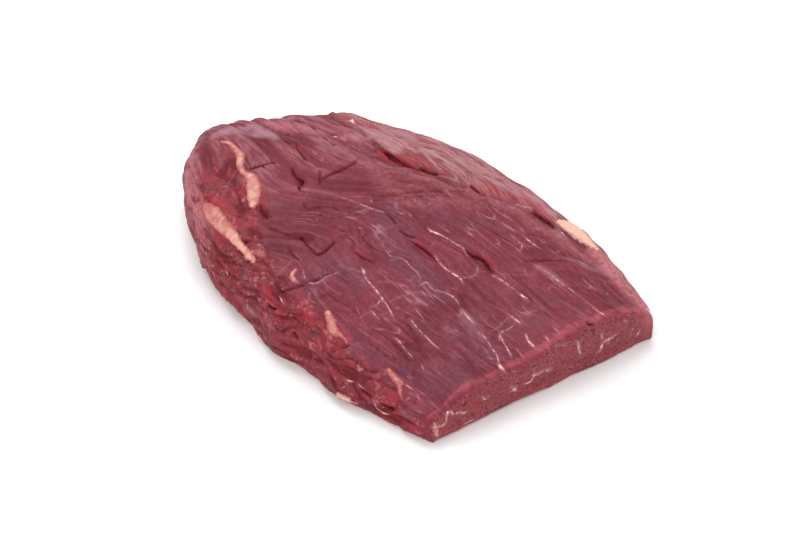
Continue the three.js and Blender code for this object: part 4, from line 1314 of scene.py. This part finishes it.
@dataclass(frozen=True)
class LeanFinish:
    """Moist raw beef: its colours on screen, from 0 to 255, its net of pale lines and its gloss."""

    deep: Tone = (104, 31, 42)
    middle: Tone = (121, 42, 57)
    pale: Tone = (142, 66, 80)
    reddish: Tone = (124, 46, 60)
    violet: Tone = (106, 52, 70)
    brown: Tone = (104, 40, 48)
    # pale pink, partly the lean's tint and partly painted sheen
    blush_and_sheen: Tone = (182, 110, 116)
    lip_pink: Tone = (164, 70, 82)
    wall_deep: Tone = (112, 36, 46)
    wall: Tone = (140, 50, 58)
    wall_dusk: Tone = (108, 54, 64)
    wall_pale: Tone = (196, 126, 122)
    cut_flesh: Tone = (148, 76, 80)
    fresh_red: Tone = (158, 44, 55)
    # dark red painted as shade into creases, furrows, ridge valleys and round clefts
    crease_shade: Tone = (96, 26, 38)
    # dark red of torn flesh, darkened further as painted shade in clefts and hollows
    cleft_red_and_shade: Tone = (92, 10, 22)
    film_grey: Tone = (158, 112, 124)
    flap_pink: Tone = (168, 118, 121)
    # greyish pink of a thin film, also used as painted highlight on crests and ridge tops
    crest_tint_and_sheen: Tone = (156, 96, 106)
    network: Tone = (176, 118, 132)
    fat_cream: Tone = (222, 176, 158)
    fat_rose: Tone = (172, 96, 92)
    net_runs: tuple[tuple[float, float, float], ...] = ((0.1, 0.018, 0.55), (0.2, 0.035, 0.25))
    net_half_width: float = 0.014
    bump_strength: float = 0.45
    bump_depth: float = 0.35
    bleed: float = 1.2  # how far light spreads in the meat

    def material(self) -> bpy.types.Material:
        """Builds the material of the steak's body.

        Returns:
            The material.
        """
        new = NewMaterial("raw beef")
        graph = new.graph
        scaled = graph.node("ShaderNodeVectorMath", operation="SCALE")
        graph.feed(scaled.inputs[0], graph.node("ShaderNodeTexCoord").outputs["Object"])
        scaled.inputs["Scale"].default_value = 1 / MM
        spot = scaled.outputs[0]
        grain = GrainGroup.use(graph)
        colour = self.flesh(graph, spot, grain)
        colour = self.torn_wall(graph, spot, colour)
        colour = self.cut_ends(graph, spot, colour)
        ragged = graph.noise(spot, 0.5, 3.0)
        colour = self.creases(graph, ragged, colour)
        colour = self.skins(graph, spot, ragged, colour)
        colour = self.wounds(graph, spot, ragged, colour)
        colour, fat = self.with_fat(graph, spot, colour)
        new.give({
            "Base Color": colour,
            "Roughness": graph.patches(spot, 0.16, 3.0, 0.35, 0.7, 0.46, 0.62),
            "Normal": self.fine_relief(graph, spot, grain, fat),
            "IOR": 1.38,
            "Specular IOR Level": 0.22,
            "Subsurface Weight": 0.12,
            "Subsurface Radius": (1.0, 0.35, 0.3),
            "Subsurface Scale": self.bleed * MM,
            "Coat Weight": 0.03,
            "Coat Roughness": 0.18,
        })
        return new.material

    def fine_relief(self, graph: Graph, spot: Socket, grain: bpy.types.Node, fat: Socket) -> Socket:
        """Bends the light on fibres along the lean, on crumbs in torn flesh and on the fat's soft lumps.

        Args:
            graph: the material's tree.
            spot: the place on the steak.
            grain: the node of the fibre group.
            fat: the fat's mask.

        Returns:
            The bent normal.
        """
        bump = graph.node("ShaderNodeBump")
        bump.inputs["Strength"].default_value = self.bump_strength
        bump.inputs["Distance"].default_value = self.bump_depth * MM
        speck = graph.noise(spot, 1.1, 4.0)
        fibre = graph.plus(graph.times(grain.outputs["Fibre"], 0.6), graph.times(speck, 0.6))
        meat = graph.mix(graph.mask("torn"), fibre, speck)
        graph.feed(bump.inputs["Height"], graph.mix(fat, meat, graph.noise(spot, 0.5, 3.0)))
        return bump.outputs[0]

    def flesh(self, graph: Graph, spot: Socket, grain: bpy.types.Node) -> Socket:
        """Mixes the lean's own colour: broad patches, fibres along the grain and the pale net.

        Args:
            graph: the material's tree.
            spot: the place on the steak.
            grain: the node of the fibre group.

        Returns:
            The colour of the lean.
        """
        colour = graph.paint(linear(*self.deep), graph.patches(spot, 0.055, 3.0, 0.36, 0.66), self.middle)
        colour = graph.paint(colour, graph.patches(spot, 0.032, 2.0, 0.42, 0.62, 0.0, 0.6), self.reddish)
        for mask, tone in (("violet", self.violet), ("brown", self.brown)):
            colour = graph.paint(colour, graph.times(graph.mask(mask), 0.8), tone)
        streak, fibre = grain.outputs["Streak"], grain.outputs["Fibre"]
        colour = graph.paint(colour, graph.span(streak, 0.48, 0.75, 0.0, 0.42), self.pale)
        colour = graph.paint(colour, graph.span(streak, 0.45, 0.25, 0.0, 0.35), self.deep)
        colour = graph.shade(colour, graph.span(fibre, 0.35, 0.7, 0.9, 1.1))
        colour = graph.shade(colour, graph.patches(spot, 0.5, 4.0, 0.35, 0.65, 0.86, 1.14))
        return self.net(graph, spot, colour)

    def net(self, graph: Graph, spot: Socket, colour: Socket) -> Socket:
        """Adds the net of thin pale lines where bundles meet, strong in some patches and gone in others.

        Args:
            graph: the material's tree.
            spot: the place on the steak.
            colour: the colour so far.

        Returns:
            The colour with the net.
        """
        for across, along, strength in self.net_runs:
            x = graph.times(graph.mask("across"), across)
            y = graph.times(graph.mask("along"), along)
            field = graph.noise(graph.place(x, y, across * 40), 1.0, 2.5)
            off = graph.math("ABSOLUTE", graph.math("SUBTRACT", field, 0.5))
            thin = graph.span(off, 0.0, self.net_half_width, strength, 0.0)
            where = graph.patches(spot, 0.06 + across / 4, 3.0, 0.46, 0.6)
            where = graph.times(where, graph.span(graph.mask("brown"), 0.0, 0.6, 1.0, 0.2))
            colour = graph.paint(colour, graph.times(thin, where), self.network)
        return colour

    def torn_wall(self, graph: Graph, spot: Socket, colour: Socket) -> Socket:
        """Adds the torn side's flesh, with dusky and fresh patches and pale flecks.

        Args:
            graph: the material's tree.
            spot: the place on the steak.
            colour: the colour so far.

        Returns:
            The colour with the torn side.
        """
        wall = graph.paint(linear(*self.wall_deep), graph.patches(spot, 0.42, 4.0, 0.38, 0.6), self.wall)
        broad = graph.noise(spot, 0.11, 3.0)
        wall = graph.paint(wall, graph.span(broad, 0.52, 0.66, 0.0, 0.8), self.wall_dusk)
        wall = graph.paint(wall, graph.span(broad, 0.46, 0.34, 0.0, 0.6), self.fresh_red)
        flecks = graph.patches(spot, 0.36, 5.0, 0.6, 0.66, 0.0, 0.7)
        flecks = graph.times(flecks, graph.patches(spot, 0.09, 2.0, 0.44, 0.58))
        wall = graph.paint(wall, flecks, self.wall_pale)
        return graph.mix(graph.times(graph.mask("torn"), 0.8), colour, wall)

    def cut_ends(self, graph: Graph, spot: Socket, colour: Socket) -> Socket:
        """Adds the flesh of the knife cut, with the pale ends of fibres.

        Args:
            graph: the material's tree.
            spot: the place on the steak.
            colour: the colour so far.

        Returns:
            The colour with the cut.
        """
        tone = graph.paint(linear(*self.wall_deep), graph.patches(spot, 0.9, 4.0, 0.36, 0.6), self.cut_flesh)
        tone = graph.paint(tone, graph.patches(spot, 0.2, 3.0, 0.45, 0.62, 0.0, 0.6), self.wall)
        tone = graph.paint(tone, graph.patches(spot, 1.6, 3.0, 0.6, 0.72, 0.0, 0.7), self.wall_pale)
        return graph.mix(graph.times(graph.mask("cut"), 0.85), colour, tone)

    def creases(self, graph: Graph, ragged: Socket, colour: Socket) -> Socket:
        """Paints shade into the creases, furrows and ridge valleys and highlights onto the crests and ridge
        tops, and lays pale pink patches that are partly painted sheen.

        Args:
            graph: the material's tree.
            ragged: noise that breaks the marks up.
            colour: the colour so far.

        Returns:
            The colour with the creases.
        """
        # creases between bundles and strands: painted shade
        bundle = graph.span(graph.math("ABSOLUTE", graph.mask("bundle")), 0.0, 0.12, 0.65, 0.0)
        strand = graph.span(graph.math("ABSOLUTE", graph.mask("strand")), 0.0, 0.12, 0.2, 0.0)
        crease = graph.math("MAXIMUM", graph.times(bundle, graph.mask("patchy")), strand)
        lean = graph.math("SUBTRACT", 1.0, graph.math("MAXIMUM", graph.mask("torn"), graph.mask("cut")))
        colour = graph.paint(colour, graph.times(crease, lean), self.crease_shade)
        # pale pink patches, partly painted sheen
        blush_and_sheen = graph.times(graph.mask("blush_and_sheen"), graph.span(ragged, 0.3, 0.65, 0.45, 1.0))
        colour = graph.paint(colour, blush_and_sheen, self.blush_and_sheen)
        # furrows: painted shade
        colour = graph.paint(colour, graph.span(graph.mask("furrow"), 0.1, 0.9, 0.0, 0.8), self.crease_shade)
        # crests: painted highlight, partly a greyish film tint
        crest = graph.span(graph.mask("crest"), 0.2, 0.9)
        crest = graph.times(crest, graph.span(ragged, 0.35, 0.6, 0.15, 0.75))
        colour = graph.paint(colour, crest, self.crest_tint_and_sheen)
        # far ridges: painted highlight on their tops, broken up along the grain, and painted shade in their
        # valleys
        sheen_breakup = graph.patches(graph.in_grain(0.35, 0.06), 1.0, 4.0, 0.4, 0.62, 0.1, 0.7)
        ridge = graph.times(graph.span(graph.mask("ridge"), 0.0, 0.8), sheen_breakup)
        colour = graph.paint(colour, ridge, self.crest_tint_and_sheen)
        return graph.paint(colour, graph.span(graph.mask("ridge"), 0.0, -0.7, 0.0, 0.6), self.crease_shade)

    def skins(self, graph: Graph, spot: Socket, ragged: Socket, colour: Socket) -> Socket:
        """Adds the flap's broken skin, the grey films and the stain along each thread.

        Args:
            graph: the material's tree.
            spot: the place on the steak.
            ragged: noise that breaks the marks up.
            colour: the colour so far.

        Returns:
            The colour with the skins.
        """
        across = graph.plus(graph.times(graph.mask("across"), 0.26), graph.times(ragged, 0.4))
        skin = graph.place(across, graph.times(graph.mask("along"), 0.03))
        broad = graph.times(graph.noise(skin, 1.0, 3.0), 0.5)
        layers = graph.plus(broad, graph.times(graph.noise(skin, 2.7, 3.0), 0.5))
        raw = graph.times(graph.mask("flap"), graph.span(layers, 0.48, 0.4, 0.1, 0.8))
        colour = graph.paint(colour, raw, self.fresh_red)
        film = graph.times(graph.mask("film"), graph.patches(spot, 0.22, 3.0, 0.3, 0.6, 0.5, 1.0))
        colour = graph.paint(colour, film, self.film_grey)
        flap = graph.times(graph.mask("flap"), graph.span(layers, 0.44, 0.57, 0.15, 1.0))
        colour = graph.paint(colour, flap, self.flap_pink)
        return graph.paint(colour, graph.times(graph.mask("vein"), 0.3), self.network)

    def wounds(self, graph: Graph, spot: Socket, ragged: Socket, colour: Socket) -> Socket:
        """Adds fresh flesh and the lips beside it, paints shade into the torn side's hollows and the clefts,
        and paints highlights onto the torn side's tips.

        Args:
            graph: the material's tree.
            spot: the place on the steak.
            ragged: noise that breaks the marks up.
            colour: the colour so far.

        Returns:
            The colour with the wounds.
        """
        fresh = graph.times(graph.mask("fresh"), graph.patches(spot, 0.3, 3.0, 0.3, 0.65, 0.3, 0.8))
        colour = graph.paint(colour, fresh, self.fresh_red)
        lip = graph.times(graph.mask("lip"), graph.patches(spot, 0.22, 3.0, 0.36, 0.6, 0.3, 0.85))
        colour = graph.paint(colour, lip, self.lip_pink)
        # torn side's hollows: painted shade
        colour = graph.paint(colour, graph.span(graph.mask("crag"), -0.1, -0.75, 0.0, 0.75), self.cleft_red_and_shade)
        # crags' raised tips: painted highlight
        tip = graph.times(graph.span(graph.mask("crag"), 0.15, 0.7), graph.span(ragged, 0.4, 0.62))
        colour = graph.paint(colour, graph.times(tip, 0.4), self.wall_pale)
        # clefts: painted shade round and inside them, over their dark red flesh
        gap = graph.plus(graph.mask("cleft"), graph.times(ragged, 0.5))
        colour = graph.paint(colour, graph.span(gap, 0.1, 1.3, 0.45, 0.0), self.crease_shade)
        return graph.paint(colour, graph.span(gap, 0.05, 0.5, 0.9, 0.0), self.cleft_red_and_shade)

    def with_fat(self, graph: Graph, spot: Socket, colour: Socket) -> tuple[Socket, Socket]:
        """Adds the fat pads, crisp at their uneven edges and rosy where meat shows through.

        Args:
            graph: the material's tree.
            spot: the place on the steak.
            colour: the colour without the fat.

        Returns:
            The colour with the fat, and the fat's mask.
        """
        uneven = graph.times(graph.noise(spot, 0.5, 4.0), 2.4)
        edge = graph.plus(graph.plus(graph.mask("fat"), uneven), -1.2)
        fat = graph.span(edge, -0.3, 0.3, 1.0, 0.0)
        pale = graph.plus(graph.mask("cream"), graph.patches(spot, 0.3, 5.0, 0.36, 0.64, 0.15, -0.15))
        pale = graph.math("SUBTRACT", pale, graph.span(edge, -1.5, -0.1, 0.0, 0.45))
        tone = graph.paint(linear(*self.fat_rose), graph.span(pale, 0.0, 1.0), self.fat_cream)
        tone = graph.paint(tone, graph.patches(spot, 0.8, 3.0, 0.62, 0.72, 0.0, 0.4), self.fresh_red)
        return graph.mix(fat, colour, tone), fat


@dataclass(frozen=True)
class ThreadFinish:
    """Pale fat and gristle threads: their colours on screen, from 0 to 255, and their gloss."""

    pale: Tone = (226, 184, 174)
    fine: Tone = (176, 118, 126)
    rosy: Tone = (164, 98, 106)
    bleed: float = 0.8  # how far light spreads in the fat

    def material(self) -> bpy.types.Material:
        """Builds the material of the marbling.

        Returns:
            The material.
        """
        new = NewMaterial("marbling fat")
        graph = new.graph
        spot = graph.node("ShaderNodeTexCoord").outputs["Object"]
        tone = graph.paint(linear(*self.fine), graph.span(graph.mask("girth"), 0.2, 0.75), self.pale)
        tone = graph.paint(tone, graph.patches(spot, 260.0, 3.0, 0.4, 0.64, 0.0, 0.8), self.rosy)
        new.give({
            "Base Color": tone,
            "Roughness": graph.patches(spot, 900.0, 2.0, 0.3, 0.7, 0.3, 0.45),
            "IOR": 1.42,
            "Subsurface Weight": 0.2,
            "Subsurface Radius": (1.0, 0.5, 0.4),
            "Subsurface Scale": self.bleed * MM,
        })
        return new.material


class LampSide(Enum):
    """Where a lamp stands, as seen from the camera."""

    BEHIND = "behind"
    LEFT = "left"


@dataclass(frozen=True)
class Lamp:
    """A large soft lamp that points at the steak."""

    side: LampSide
    place: tuple[float, float, float]
    size: float
    power: float

    def add(self) -> None:
        """Adds the lamp."""
        spot = Vector(self.place) * MM
        facing = (-spot).to_track_quat("-Z", "Y").to_euler()
        bpy.ops.object.light_add(type="AREA", location=spot, rotation=facing)
        lamp = bpy.context.active_object
        lamp.name = "lamp_" + self.side.value
        lamp.data.shape = "SQUARE"
        lamp.data.size = self.size * MM
        lamp.data.energy = self.power


class Studio:
    """The pale floor, the soft light and the camera."""

    floor_size = 8.0  # in metres
    floor_tone = 0.9
    floor_glow = 0.03  # lightens the shadow, as the white paper's own translucence would
    sky = 0.8
    lamps = (
        Lamp(LampSide.BEHIND, (300, 700, 1700), 1300, 20.0),
        Lamp(LampSide.LEFT, (-1300, -600, 900), 1000, 9.0),
    )

    def build(self, view: Viewpoint) -> None:
        """Sets up the floor, lamps, sky and camera.

        Args:
            view: the photograph's standpoint.
        """
        bpy.ops.object.select_all(action="DESELECT")
        bpy.ops.mesh.primitive_plane_add(size=self.floor_size)
        floor = bpy.context.active_object
        floor.name = "floor"
        floor.data.materials.append(self.floor_paint())
        for lamp in self.lamps:
            lamp.add()
        world = bpy.data.worlds.new("sky")
        world.use_nodes = True
        world.node_tree.nodes["Background"].inputs["Color"].default_value = (1, 1, 1, 1)
        world.node_tree.nodes["Background"].inputs["Strength"].default_value = self.sky
        bpy.context.scene.world = world
        bpy.context.scene.view_settings.view_transform = "Standard"
        view.add_camera()

    def floor_paint(self) -> bpy.types.Material:
        """Makes the floor's matt white.

        Returns:
            The material.
        """
        new = NewMaterial("matt white")
        new.give({
            "Base Color": (self.floor_tone, self.floor_tone, self.floor_tone, 1),
            "Roughness": 0.9,
            "Emission Color": (1, 1, 1, 1),
            "Emission Strength": self.floor_glow,
        })
        return new.material


def triangles(piece: bpy.types.Object) -> int:
    """How many triangles a mesh object has."""
    return sum(len(face.vertices) - 2 for face in piece.data.polygons)


def main() -> None:
    """Builds the steak, its marbling and the studio, and reports each piece."""
    logging.basicConfig(level=logging.INFO, format="%(name)s: %(message)s")
    view = Viewpoint()
    body = SteakBody(view, Relief())
    steak = body.build()
    steak.data.materials.append(LeanFinish().material())
    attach(steak, "root")
    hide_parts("steak")
    LOG.info("body: %d triangles", triangles(steak))
    threads = Marbling(body, Scatter(), Flecks()).build()
    threads.data.materials.append(ThreadFinish().material())
    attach(threads, "root")
    LOG.info("marbling: %d triangles", triangles(threads))
    Studio().build(view)


if __name__ == "__main__":
    main()
